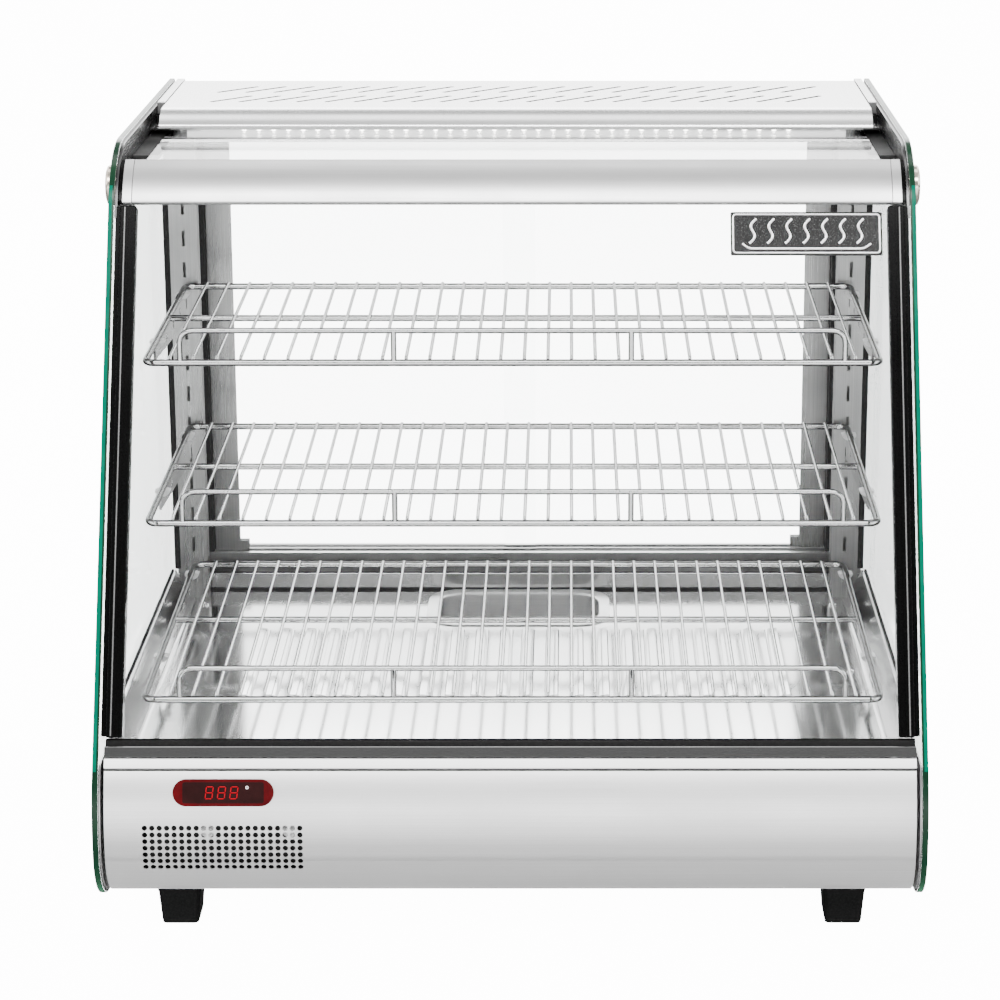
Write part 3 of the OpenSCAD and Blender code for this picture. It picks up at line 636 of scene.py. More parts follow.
def glow(name, colour, strength):
    """A lit part: one even colour, with a surface that is a little smoother in places."""
    return material(name, SPECKLE, (("Roughness", "Roughness"),), {"Smooth": 0.2, "Rough": 0.3},
                    {"Base Color": colour, "Emission Color": colour, "Emission Strength": strength,
                     "Specular IOR Level": 0.05})


LED = glow("led_white", (1.0, 0.98, 0.94, 1), 30.0)
DIGIT = glow("red_digit", (0.3, 0.001, 0.008, 1), 0.45)
DEGREE = glow("white_unit_mark", (0.9, 0.85, 0.85, 1), 0.8)


def ledge_with_painted_shadow():
    """Matt grey ledge with a painted shadow: its colour darkens towards the back."""
    made = enamel("dark_glass_ledge", grey(0.045), grey(0.06), 0.5, 0.7, 500.0, depth=0.05, specular=0.02)
    tree = made.node_tree
    where = node(tree, "ShaderNodeTexCoord")
    split = node(tree, "ShaderNodeSeparateXYZ", [(0, where.outputs["Object"])])
    # Painted shadow: the base colour falls to near black towards the back.
    back = node(tree, "ShaderNodeMapRange", [(0, split.outputs[1]), (1, -0.04), (2, 0.07)])
    return shade_over(made, back.outputs[0], 0.005)


LEDGE = ledge_with_painted_shadow()


def studio_paper():
    """White paper: bright where it is seen, a soft light of its own around the case."""
    made = enamel("white_studio_paper", grey(0.12), grey(0.13), 0.6, 0.8, 6.0, depth=0.0)
    tree = made.node_tree
    seen = node(tree, "ShaderNodeLightPath")
    bounced = node(tree, "ShaderNodeMath",
                   [(0, seen.outputs["Glossy Depth"]), (1, seen.outputs["Diffuse Depth"])], operation="ADD")
    direct = node(tree, "ShaderNodeMath", [(0, bounced.outputs[0]), (1, 0.5)], operation="LESS_THAN")
    where = node(tree, "ShaderNodeTexCoord")
    split = node(tree, "ShaderNodeSeparateXYZ", [(0, where.outputs["Object"])])
    around = node(tree, "ShaderNodeMapRange",
                  [(0, split.outputs[1]), (1, -0.45), (2, -1.2), (3, 0.06), (4, 2.2)])
    rise = node(tree, "ShaderNodeMapRange",
                [(0, split.outputs[2]), (1, 0.05), (2, 0.5), (3, 0.0), (4, 4.6)])
    glowing = node(tree, "ShaderNodeMath", [(0, around.outputs[0]), (1, rise.outputs[0])], operation="ADD")
    level = node(tree, "ShaderNodeMapRange", [(0, direct.outputs[0]), (3, glowing.outputs[0]), (4, 14.0)])
    tree.links.new(level.outputs[0], shader_of(made).inputs["Emission Strength"])
    return made


# ---------------------------------------------------------------- repeated shapes

def repeat_group(name):
    """Sets a shape at every point, turned by the point's turn and then by a fixed random spin."""
    tree = bpy.data.node_groups.new(name, "GeometryNodeTree")
    face = tree.interface
    face.new_socket("Points", in_out="INPUT", socket_type="NodeSocketGeometry")
    face.new_socket("Shape", in_out="INPUT", socket_type="NodeSocketObject")
    face.new_socket("Spin", in_out="INPUT", socket_type="NodeSocketFloat")
    face.new_socket("Material", in_out="INPUT", socket_type="NodeSocketMaterial")
    face.new_socket("Mesh", in_out="OUTPUT", socket_type="NodeSocketGeometry")
    enter, leave = tree.nodes.new("NodeGroupInput"), tree.nodes.new("NodeGroupOutput")
    shape = node(tree, "GeometryNodeObjectInfo", [("Object", enter.outputs["Shape"])])
    turn = node(tree, "GeometryNodeInputNamedAttribute", [("Name", "turn")], data_type="FLOAT_VECTOR")
    placed = node(tree, "GeometryNodeInstanceOnPoints",
                  [("Points", enter.outputs["Points"]), ("Instance", shape.outputs["Geometry"]),
                   ("Rotation", turn.outputs[0])])
    chance = node(tree, "FunctionNodeRandomValue", [("Seed", 7)], data_type="FLOAT")
    tree.links.new(enter.outputs["Spin"], chance.inputs[3])
    spin = node(tree, "ShaderNodeCombineXYZ", [("Z", chance.outputs[1])])
    turned = node(tree, "GeometryNodeRotateInstances",
                  [("Instances", placed.outputs[0]), ("Rotation", spin.outputs[0])])
    real = node(tree, "GeometryNodeRealizeInstances", [(0, turned.outputs[0])])
    painted = node(tree, "GeometryNodeSetMaterial",
                   [("Geometry", real.outputs[0]), ("Material", enter.outputs["Material"])])
    return put_out(tree, leave, Mesh=painted.outputs[0])


REPEAT = repeat_group("repeat_shape_at_points")


def repeated(name, shape_bm, places, paint, spin=0.0, smooth_angle=32.0):
    """A mesh of copies of a shape; places are (position in mm, turn as Euler angles)."""
    shape = in_scene(name + "_shape", mesh_from(shape_bm, name + "_shape", smooth_angle))
    points = bpy.data.meshes.new(name + "_points")
    points.from_pydata([Vector(p) * MM for p, _ in places], [], [])
    turns = points.attributes.new("turn", "FLOAT_VECTOR", "POINT")
    turns.data.foreach_set("vector", [a for _, turn in places for a in turn])
    mesh = grown(name, points, REPEAT, {"Shape": shape, "Spin": spin, "Material": paint})
    bpy.data.objects.remove(shape)
    if "turn" in mesh.attributes:
        mesh.attributes.remove(mesh.attributes["turn"])
    mesh.name = name
    return mesh


def screw_shape(head, height):
    """Pan head with a cross recess, standing on local Z = 0."""
    profile = [(head, 0), (head * 0.97, height * 0.45), (head * 0.75, height * 0.85), (head * 0.42, height)]
    cross = []
    for k, (x, y) in enumerate(circle(0, 0, head)):
        reach = 0.16 if k % 4 else 0.42
        cross.append((x * reach, y * reach))
    return stack([(circle(0, 0, r), z) for r, z in profile] + [(cross, height * 0.55)])


# ---------------------------------------------------------------- softened copies of CAD nodes

def soften(name, width, paint, slot, body="cabinet", segments=2):
    """A piece with the shape of a CAD node and small rounded edges."""
    source = frame["nodes"][name]
    bm = bmesh.new()
    bm.from_mesh(source.data)
    bmesh.ops.scale(bm, vec=(1000, 1000, 1000), verts=bm.verts)
    bmesh.ops.remove_doubles(bm, verts=bm.verts, dist=0.002)
    bmesh.ops.dissolve_limit(bm, angle_limit=math.radians(1), verts=bm.verts, edges=bm.edges)
    bevel_sharp(bm, width, segments, 35.0)
    piece("vis_" + name, mesh_from(bm, name, 28.0), body, slot, paint, replaces=(name,))


# ---------------------------------------------------------------- base

LENS_X, LENS_A, LENS_W, LENS_H = -232.5, 17.6, 82.0, 22.0
GRILLE_X, GRILLE_COLS, GRILLE_ROWS, GRILLE_PITCH = -233.7, 22, 7, 6.0
GRILLE_LOW, GRILLE_STEP, GRILLE_HOLE = 68.7, 5.7, 4.5


def base_front():
    """Curved base front with its grille of round holes, and the duct behind the grille."""
    line = [(-232.0, UNDER_Z + INSET)] + arc(TOE_C, TOE_R - INSET, 270, 180, 40)
    line += arc(BELLY_C, BELLY_R - INSET, 180, 180 - LEAN, 30)
    lengths, place = fold_along(line)

    def v_at(z):
        """How far along the sheet a height on its front lies."""
        for i in range(1, len(line) - 1):
            if line[i][1] <= z <= line[i + 1][1]:
                t = (z - line[i][1]) / max(line[i + 1][1] - line[i][1], 1e-9)
                return lengths[i] + t * (lengths[i + 1] - lengths[i])
    holes = []
    for row in range(GRILLE_ROWS):
        for col in range(GRILLE_COLS):
            holes.append(circle(GRILLE_X + (col - (GRILLE_COLS - 1) / 2) * GRILLE_PITCH,
                                v_at(GRILLE_LOW + row * GRILLE_STEP), GRILLE_HOLE / 2, 14))
    lines = sorted(set(round(v, 4) for v in lengths))
    bm = punched_sheet(-329.5, 329.5, lines, holes, place, 1.0)
    piece("vis_base_front", mesh_from(bm, "base_front", 40.0), "cabinet", "stainless", FRONT_STEEL,
          replaces=("base_front_panel",))
    duct = bmesh.new()
    half = GRILLE_COLS * GRILLE_PITCH / 2 + 4
    add_box(duct, (GRILLE_X - half, -284, 60), (GRILLE_X + half, -282.6, 116), 0.5)
    for x in (-half, half):
        add_box(duct, (GRILLE_X + x - 0.7, -292, 62), (GRILLE_X + x + 0.7, -283, 114), 0.4)
    piece("vis_air_duct", mesh_from(duct, "air_duct"), "cabinet", "black_plastic", PRINT)
    boss = stack([(circle(0, 0, r, 24), z) for r, z in ((6.5, 0), (6.5, 3), (5.6, 4.2), (3.0, 4.8))])
    places = [((GRILLE_X + x, -284.0, 97.0), (math.radians(90), 0, 0)) for x in (-13.0, 54.0)]
    piece("vis_duct_bosses", repeated("duct_bosses", boss, places, WHITE_PLASTIC), "cabinet",
          "white_plastic", WHITE_PLASTIC)


def stadium(width, height, steps=12):
    """Outline with two straight sides and round ends."""
    return rounded_rect(width, height, height / 2 - 0.01, steps)


def digit_bars(bm, x, tall, wide, thick):
    """A readout place with all seven segments lit, as slanted hexagonal bars."""
    level = [(0, tall * part, 0) for part in (0, 0.5, 1)]
    upright = [(side * wide / 2, tall * part, 90) for side in (-1, 1) for part in (0.25, 0.75)]
    for cx, cy, turn in level + upright:
        tip, edge = (wide if turn == 0 else tall / 2) / 2 - thick * 0.375, thick / 2
        hexagon = [(-tip, 0), (edge - tip, edge), (tip - edge, edge), (tip, 0), (tip - edge, -edge),
                   (edge - tip, -edge)]
        a = math.radians(turn)
        outline = []
        for px, py in hexagon:
            qx = px * math.cos(a) - py * math.sin(a) + cx
            qy = px * math.sin(a) + py * math.cos(a) + cy - tall / 2
            outline.append((qx + qy * 0.12 + x, qy))
        join(bm, plate(outline, 0.25))


def display():
    """Red display lens with its dark window, a plain readout and a small ring."""
    where = belly_matrix(LENS_X, LENS_A)
    lens = bmesh.new()
    join(lens, plate(stadium(LENS_W, LENS_H), 2.0, 1.4), where @ Matrix.Translation((0, 0, 0.1)))
    piece("vis_display_lens", mesh_from(lens, "display_lens", 50.0), "cabinet", "red_lens", LENS,
          replaces=("display_lens",))
    window = bmesh.new()
    join(window, plate(rounded_rect(66, 17.0, 1.8), 0.12, 0.08), where @ Matrix.Translation((0, 0, 2.06)))
    piece("vis_display_window", mesh_from(window, "display_window"), "cabinet", "red_lens", LENS_WINDOW)
    digits = bmesh.new()
    for x in (-11.2, -1.2, 8.8):
        part = bmesh.new()
        digit_bars(part, x, 9.6, 5.6, 0.8)
        join(digits, part, where @ Matrix.Translation((0, 0, 2.2)))
    piece("vis_display_digits", mesh_from(digits, "display_digits"), "cabinet", "led_white", DIGIT)
    unit = bmesh.new()
    add_tube(unit, [(x, y, 0.1) for x, y in circle(19.4, 4.2, 1.0, 20)], 0.3, 6, closed=True)
    unit.transform(where @ Matrix.Translation((0, 0, 2.2)))
    piece("vis_display_unit", mesh_from(unit, "display_unit"), "cabinet", "led_white", DEGREE)


def feet():
    """Four tapered rubber feet."""
    bm = bmesh.new()
    for x in (-276, 276):
        for y in (-239, 240):
            foot = stack([(rounded_rect(wide, wide + 4, 4, 4, x, y), z)
                          for wide, z in ((30, 0), (31, 3), (35, 29), (36, 30), (36, 32.9))])
            join(bm, foot)
    piece("vis_feet", mesh_from(bm, "feet", 50.0), "cabinet", "black_rubber", RUBBER, replaces=("feet",))


# ---------------------------------------------------------------- glass sides

def side_glass(name, x0, x1):
    """A side glass with a green polished edge: a painted glow where the edge is free, and a painted darker
    green where something backs it.
    """
    corners = side_outline(0, 28)
    outline = []
    for a, b in zip(corners, corners[1:] + corners[:1]):
        cuts = sorted((z - a[1]) / (b[1] - a[1]) for z in (BACKED_BELOW, BACKED_ABOVE)
                      if min(a[1], b[1]) < z < max(a[1], b[1]))
        outline += [a] + [(a[0] + t * (b[0] - a[0]), a[1] + t * (b[1] - a[1])) for t in cuts]
    bm = prism(outline, x0, x1, 0.5, 1)
    inner = min(abs(x0), abs(x1)) + 1.7
    bmesh.ops.bisect_plane(bm, geom=bm.verts[:] + bm.edges[:] + bm.faces[:], dist=0.0001,
                           plane_co=(math.copysign(inner, x0), 0, 0), plane_no=(1, 0, 0))
    mesh = mesh_from(bm, name, 25.0)
    for paint in (SIDE_CLEAR, GLASS_EDGE, GLASS_EDGE_DARK):
        mesh.materials.append(paint)
    # Free edges take the painted glow, backed edges the painted darker green.
    for face in mesh.polygons:
        face.material_index = 0
        if abs(face.normal.x) < 0.85:
            free = BACKED_BELOW * MM < face.center.z < BACKED_ABOVE * MM
            face.material_index = 1 if free and abs(face.center.x) > inner * MM else 2
    piece("vis_" + name, mesh, "cabinet", "clear_glass", SIDE_CLEAR, replaces=(name,))


def printed_borders():
    """Black print on the inner faces of the side glasses, along the top and over the base."""
    bm = bmesh.new()
    outline = side_outline(1.0, 28)
    foot = [p for p in outline if p[1] <= PRINT_BASE]
    base = [(BACK_Y - 1, PRINT_BASE)] + foot + [(SLOPE_Y + 3, PRINT_BASE)]
    crown = [p for p in outline if p[1] > PRINT_TOP - 1]
    top = [(crown[0][0] + 2, PRINT_TOP)] + crown + [(BACK_Y - 1, PRINT_TOP)]
    for side in (-1, 1):
        for shape in (base, top):
            join(bm, prism(shape, side * (GLASS_IN - 0.28), side * (GLASS_IN - 0.05)))
    piece("vis_printed_borders", mesh_from(bm, "printed_borders"), "cabinet", "black_plastic", PRINT)


# ---------------------------------------------------------------- front glass assembly

def fascia_rail():
    """Bright curved rail with a folded lip and a foot that grips the glass."""
    outline = arc(BROW_C, BROW_R - INSET, RAIL_TOP, 180 - LEAN, 36)
    for depth, up in ((3.1, -0.3), (3.8, -1.0), (12.0, -1.0), (12.0, 6.0)):
        fold = slope_point(0, depth, SLOPE_LEN + up)
        outline.append((fold.y, fold.z))
    outline += arc(BROW_C, BROW_R - INSET - 2.5, 150, RAIL_TOP, 26)
    bm = prism(outline, -319.8, 319.8, 0.5)
    piece("vis_fascia_rail", mesh_from(bm, "fascia_rail", 30.0), "front_door", "polished_steel", RAIL_STEEL,
          replaces=("front_rail",))


def side_bars():
    """Black bars behind the glass edges, with the edge seals and the curved bands of the rail's ends."""
    bm = bmesh.new()
    for side in (-1, 1):
        bar = bmesh.new()
        add_box(bar, (-7, -7, 27.1), (7, 7, SLOPE_LEN - 3.2), 1.6, 3)
        add_box(bar, (-0.9, -7.5, 27.3), (0.9, -6.6, SLOPE_LEN - 3.4), 0.4)
        join(bm, bar, ON_SLOPE @ Matrix.Translation((side * 322.5, 9.0, 0)))
        seal = bmesh.new()
        add_side_box(seal, side, (329.0, 333.0), (3.0, 28), (11.0, SLOPE_LEN - 3.4), 0.8)
        join(bm, seal, ON_SLOPE)
        band = arc(BROW_C, BROW_R - INSET - 0.8, RAIL_TOP, 180 - LEAN, 24)
        band += arc(BROW_C, BROW_R - INSET - 14, 180 - LEAN, RAIL_TOP, 24)
        join(bm, prism(band, *sorted((side * 327.6, side * 331.0)), 0.4))
    piece("vis_side_bars", mesh_from(bm, "side_bars"), "front_door", "black_plastic", BAR,
          replaces=("front_side_bars",))


def bar_lines():
    """Raised line along each glass bar, light grey as a painted highlight on its ridge."""
    bm = bmesh.new()
    for side in (-1, 1):
        line = bmesh.new()
        add_box(line, (-0.55, -0.5, 28), (0.55, 0.4, SLOPE_LEN - 4.5), 0.25)
        join(bm, line, ON_SLOPE @ Matrix.Translation((side * 325.0, 2.0, 0)))
    piece("vis_bar_lines", mesh_from(bm, "bar_lines"), "front_door", "black_plastic", BAR_PAINTED_HIGHLIGHT)


def front_stack():
    """Sill strip, glass channel and bulb gasket along the foot of the front glass."""
    strip = prism([(3.8, 1.5), (3.0, 2.3), (3.0, 9.6), (4.6, 11.0), (14, 11.0), (14, 1.5)], -330, 330, 0.3)
    strip.transform(ON_SLOPE)
    piece("vis_sill_strip", mesh_from(strip, "sill_strip", 25.0), "cabinet", "polished_steel", FRONT_STEEL,
          replaces=("front_sill_strip",))
    channel = prism([(3.0, 11.4), (3.0, 19.0), (3.8, 20.0), (6.0, 20.0), (6.0, 15.8), (16, 15.8), (16, 20),
                     (20, 20), (20, 11.4)], -330, 330, 0.25)
    channel.transform(ON_SLOPE)
    piece("vis_glass_channel", mesh_from(channel, "glass_channel", 25.0), "cabinet", "aluminium", CHANNEL,
          replaces=("front_glass_channel",))
    bulb = [(15.5, 16.2), (15.5, 24.0)] + arc((12.3, 23.4), 3.1, 20, 90, 6)
    bulb += arc((9.4, 23.3), 3.2, 90, 180, 8)
    gasket = prism(bulb + [(6.2, 16.2)], -329.5, 329.5, 0.2, 1)
    seam = prism([(4.6, 0.15), (4.6, 1.4), (13, 1.4), (13, 0.15)], -329.5, 329.5, 0.1, 1)
    join(gasket, seam)
    gasket.transform(ON_SLOPE)
    piece("vis_front_gasket", mesh_from(gasket, "front_gasket", 40.0), "cabinet", "black_rubber", RUBBER,
          replaces=("front_gasket",))


def badge():
    """Plain speckled plate with a bright raised rim and a steam mark."""
    box_low, box_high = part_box("badge_plate")
    width = (box_high.x - box_low.x) / MM
    middle = (box_high.x + box_low.x) / 2 / MM
    tall, up = 37.5, 445.75     # height of the plate, and of its middle up the slope
    where = slope_matrix(middle, 4.1, up)
    face = bmesh.new()
    join(face, plate(rounded_rect(width - 0.4, tall - 0.4, 1.2), 1.7, 0.2), where)
    piece("vis_badge_face", mesh_from(face, "badge_face"), "front_door", "badge", BADGE_FACE,
          replaces=("badge_plate",))
    trim = bmesh.new()
    rim = bmesh.new()
    path = [(x, y, 0) for x, y in rounded_rect(width - 4.6, tall - 4.6, 2.5, 5)]
    add_tube(rim, path, 0.95, 8, closed=True)
    join(trim, rim, where @ Matrix.Translation((0, 0, 1.6)))
    for k in range(7):
        wave = bmesh.new()
        line = [(-45 + 15 * k + 2.9 * math.sin(t * 2 * math.pi) + t * 6, -8.5 + 21 * t, 0)
                for t in [i / 28 for i in range(29)]]
        add_tube(wave, line, 1.45, 10)
        join(trim, wave, where @ Matrix.Translation((-3, 0, 1.5)))
    tray = bmesh.new()
    add_tube(tray, round_corners([(-54, -9, 0), (-48, -13.2, 0), (48, -13.2, 0), (54, -9, 0)], 3), 1.2, 10)
    join(trim, tray, where @ Matrix.Translation((0, 0.4, 1.5)))
    piece("vis_badge_trim", mesh_from(trim, "badge_trim", 50.0), "front_door", "badge", BRIGHT)


def hinge_caps():
    """Bright round caps outside the side glasses, with the washer and pin that run inwards."""
    for name, side in (("left", -1), ("right", 1)):
        bm = bmesh.new()
        profile = [(0, 346.0), (14.4, 346.0), (16.4, 345.3), (17.5, 343.6), (17.5, 340.4), (16.9, 339.1),
                   (0, 339.1)]
        rings = []
        for r, x in profile:
            count = 1 if r == 0 else 64
            rim = circle(HINGE_Y, HINGE_Z, r, 64)[:count]
            rings.append([bm.verts.new((side * x, y, z)) for y, z in rim])
        for low, top in zip(rings, rings[1:]):
            for k in range(64):
                n = (k + 1) % 64
                corner = [low[k % len(low)], low[n % len(low)], top[n % len(top)], top[k % len(top)]]
                bm.faces.new(list(dict.fromkeys(corner)))
        for x0, x1, r in ((331.2, 339.1, 6.8), (320.0, 331.2, 4.0)):
            part = bmesh.new()
            add_tube(part, [(side * x0, HINGE_Y, HINGE_Z), (side * x1, HINGE_Y, HINGE_Z)], r, 40)
            join(bm, part)
        piece("vis_hinge_cap_" + name, mesh_from(bm, "hinge_cap_" + name, 30.0), "cabinet",
              "polished_steel", CAP, replaces=("hinge_cap_" + name,))


# ---------------------------------------------------------------- top

def top_sheet():
    """Top panel with its rolled back edge, rounded nose and two rows of slanted air slots."""
    back, nose = BACK_Y - 12.0, (128.0, 593.0)
    line = [(back, 608.0), (back, 619.0)] + arc((back - 4, 619.0), 4, 15, 90, 5)
    line += arc(nose, 30.0, 90, 145, 20) + arc(nose, 29.2, 149, 149, 1)[:1]
    lengths, place = fold_along(line)
    flat_start, flat_y = lengths[7], line[7][0]
    slant = math.sqrt(0.5)
    holes = []
    for row in SLOT_ROWS:
        for i in range(SLOT_COUNT):
            middle = (i - (SLOT_COUNT - 1) / 2) * SLOT_PITCH
            holes.append([(middle + (px - py) * slant, flat_start + flat_y - (row + (px + py) * slant))
                          for px, py in rounded_rect(SLOT_LONG, SLOT_WIDE, 2.35, 4)])
    mesh = mesh_from(punched_sheet(-322.5, 322.5, lengths, holes, place, 0.9), "top_sheet", 35.0)
    mesh.materials.append(TOP_STEEL)
    mesh.materials.append(MAT_AND_SLOT_SHADE)
    # Painted shade: the cut walls of the slots take the black mat finish.
    for face in mesh.polygons:
        slot_wall_in_painted_shade = abs(face.normal.z) < 0.3 and 0.14 < face.center.y < 0.27 and abs(face.center.x) < 0.32
        face.material_index = 1 if slot_wall_in_painted_shade else 0
    piece("vis_top_sheet", mesh, "cabinet", "stainless", TOP_STEEL, replaces=("top_panel",))


def led_strip():
    """Light board with its domes, and painted glints in front of them: glowing drop shapes."""
    low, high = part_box("led_strip")
    bm = bmesh.new()
    add_box(bm, (low.x / MM, low.y / MM, high.z / MM - 1.4), (high.x / MM, high.y / MM, high.z / MM), 0.3)
    piece("vis_led_board", mesh_from(bm, "led_board"), "cabinet", "led_white", WHITE_PLASTIC,
          replaces=("led_strip",))
    dome = stack([(circle(0, 0, r, 12), z) for r, z in ((2.5, 0), (2.5, -0.5), (2.1, -1.0), (1.2, -1.35))])
    middles = [(i - 18.5) * LED_PITCH for i in range(LED_COUNT)]
    places = [((x, 133.0, high.z / MM - 1.4), (0, 0, 0)) for x in middles]
    piece("vis_led_domes", repeated("led_domes", dome, places, LED), "cabinet", "led_white", LED)
    # Painted glints: drop shapes in the lamp finish, glowing in front of the domes.
    drop_line = []
    for x, y in circle(0, 0, 1.0):
        drop_line.append((2.6 * x, 2.6 * y) if y > 0 else (2.6 * x * (1.0 + 0.62 * y), 6.2 * y))
    drop = stack([([(x * scale, y * scale) for x, y in drop_line], out)
                  for scale, out in ((1.0, 0.0), (0.92, 0.7), (0.7, 1.2), (0.35, 1.5))])
    places = [((x, 123.95, 601.4), (math.radians(90), 0, 0)) for x in middles]
    piece("vis_led_lenses", repeated("led_lenses", drop, places, LED), "cabinet", "led_white", LED)


def insulation():
    """Dark mat on the ceiling plate, seen through the slots, and foam blocks under the trims."""
    bm = bmesh.new()
    for side in (-1, 1):
        add_side_box(bm, side, (317.0, 331.2), (150.5, 596), (156.8, 611.6), 0.8)
        add_side_box(bm, side, (322.6, 323.7), (161, 611.6), (287, 621.8))
    add_box(bm, (-318, 112, 607.7), (318, 278, 611.5), 1.5, 2)
    piece("vis_insulation_mat", mesh_from(bm, "insulation_mat"), "cabinet", "black_rubber", MAT_AND_SLOT_SHADE)


# ---------------------------------------------------------------- floor of the food well

def louvre_shape(length, width, height):
    """A long pressed louvre: open along local X = 0, falling away to local X = width."""
    bm = bmesh.new()
    across = 6
    reach = [0, 0.6, 1.4, 2.6, 4.0, length / 2]
    lines = [-length / 2 + d for d in reach] + [length / 2 - d for d in reversed(reach[:-1])]
    steps = len(lines) - 1
    outer = []
    for y in lines:
        end = min(y + length / 2, length / 2 - y) / (width * 0.45)
        scale = math.sin(math.radians(90 * min(end, 1.0)))
        row = []
        for k in range(across + 1):
            a = math.radians(90 * k / across)
            row.append(bm.verts.new((width * math.sin(a) * (0.25 + 0.75 * scale), y,
                                     height * math.cos(a) * scale + 0.02)))
        outer.append(row)
    for i in range(steps):
        for k in range(across):
            bm.faces.new((outer[i][k], outer[i][k + 1], outer[i + 1][k + 1], outer[i + 1][k]))
    bmesh.ops.remove_doubles(bm, verts=bm.verts, dist=0.001)
    bmesh.ops.recalc_face_normals(bm, faces=bm.faces)
    bmesh.ops.solidify(bm, geom=bm.faces[:], thickness=0.8)
    return bm


def food_floor():
    """Louvred floor with side skirts and a rounded front upstand."""
    holes = [rounded_rect(160, 88, 26, 8, 0, PAN_Y)]
    middles = [(i + 0.6) * LOUVRE_PITCH for i in range(LOUVRES)]
    for x in middles:
        for side in (-1, 1):
            holes.append(rounded_rect(3, LOUVRE_LONG, 1.4, 3, side * (x + 0.9), LOUVRE_Y))
    holes += [circle(x, y, 1.6, 12) for x, y in FLOOR_SCREWS]

    def place(u, v):
        return (u, v, FLOOR_Z)
    bm = punched_sheet(-311.5, 311.5, [-255.0, 184.4], holes, place, SHEET)
    skirt = [(311.5, 140.0), (313.5, 140.9), (315, 142.6), (328.6, 165.5), (329, 168), (331, 168),
             (331, 166), (316.0, 141.0), (314.0, 138.8), (311.5, 138.5)]
    for side in (-1, 1):
        join(bm, prism([(side * x, z) for x, z in skirt], -255.0, 161.4, along_y=True))
        add_side_box(bm, side, (311.5, 329), (161.6, 138.5), (184.4, 140), 0.3)
    upstand = [(-255.0, 140.0), (-256.6, 140.6), (-257.8, 142.2), (-258.0, 157.2), (-259.5, 157.2),
               (-259.5, 141.0), (-258.0, 139.0), (-255.0, 138.5)]
    join(bm, prism(upstand, -312, 312))
    piece("vis_food_floor", mesh_from(bm, "food_floor", 30.0), "cabinet", "polished_steel", FLOOR_STEEL,
          replaces=("floor_plate",))
    for name, side in (("louvres_left", -1), ("louvres_right", 1)):
        shape = louvre_shape(LOUVRE_LONG, 11, 2.4)
        bmesh.ops.scale(shape, vec=(-side, 1, 1), verts=shape.verts)
        places = [((side * (x + 1.5), LOUVRE_Y, FLOOR_Z), (0, 0, 0)) for x in middles]
        hoods = repeated(name, shape, places, FLOOR_STEEL, smooth_angle=50.0)
        piece("vis_" + name, hoods, "cabinet", "polished_steel", FLOOR_STEEL)


def water_pan():
    """Drop-in pan with rounded corners, a drawn well and a rolled flange."""
    outside = [(120, 48, 20, 85.1), (139, 67, 24, 86.0), (148, 76, 26, 89.0), (151, 79, 26, 96.0),
               (154, 82, 26, 138.0), (157, 85, 26, 140.3)]
    flange = [(173, 101, 30, 140.3), (173, 101, 30, 141.2), (156, 84, 26, 141.3), (153, 81, 26, 140.6)]
    inner_wall = [(151.6, 79.6, 26, 138.6), (149, 77, 26, 96.0), (146, 74, 26, 90.0), (138, 66, 24, 87.2),
                  (120, 48, 20, 86.3)]
    pan = stack([(rounded_rect(width, depth, radius, 8, 0, PAN_Y), z)
                 for width, depth, radius, z in outside + flange + inner_wall])
    piece("vis_water_pan", mesh_from(pan, "water_pan", 40.0), "pan", "polished_steel", PAN_STEEL,
          replaces=("water_pan",))


# ---------------------------------------------------------------- wire shelves

def wire_group():
    """A row of round wires: one straight wire drawn as a tube and set out along X."""
    tree = bpy.data.node_groups.new("row_of_wires", "GeometryNodeTree")
    face = tree.interface
    face.new_socket("Line", in_out="INPUT", socket_type="NodeSocketGeometry")
    for label, kind in (("Count", "NodeSocketInt"), ("Half Span", "NodeSocketFloat"),
                        ("Radius", "NodeSocketFloat"), ("Sides", "NodeSocketInt"),
                        ("Material", "NodeSocketMaterial")):
        face.new_socket(label, in_out="INPUT", socket_type=kind)
    face.new_socket("Mesh", in_out="OUTPUT", socket_type="NodeSocketGeometry")
    enter, leave = tree.nodes.new("NodeGroupInput"), tree.nodes.new("NodeGroupOutput")
    curve = node(tree, "GeometryNodeMeshToCurve", [("Mesh", enter.outputs["Line"])])
    ring = node(tree, "GeometryNodeCurvePrimitiveCircle", [("Resolution", enter.outputs["Sides"]),
                                                            ("Radius", enter.outputs["Radius"])])
    tube = node(tree, "GeometryNodeCurveToMesh",
                [("Curve", curve.outputs[0]), ("Profile Curve", ring.outputs[0]), ("Fill Caps", True)])
    left = node(tree, "ShaderNodeMath", [(0, enter.outputs["Half Span"]), (1, -1.0)], operation="MULTIPLY")
    start = node(tree, "ShaderNodeCombineXYZ", [("X", left.outputs[0])])
    end = node(tree, "ShaderNodeCombineXYZ", [("X", enter.outputs["Half Span"])])
    row = node(tree, "GeometryNodeMeshLine",
               [("Count", enter.outputs["Count"]), ("Start Location", start.outputs[0]),
                ("Offset", end.outputs[0])], mode="END_POINTS")
    placed = node(tree, "GeometryNodeInstanceOnPoints",
                  [("Points", row.outputs[0]), ("Instance", tube.outputs[0])])
    real = node(tree, "GeometryNodeRealizeInstances", [(0, placed.outputs[0])])
    painted = node(tree, "GeometryNodeSetMaterial", [("Geometry", real.outputs[0]),
                                                      ("Material", enter.outputs["Material"])])
    return put_out(tree, leave, Mesh=painted.outputs[0])


WIRES = wire_group()


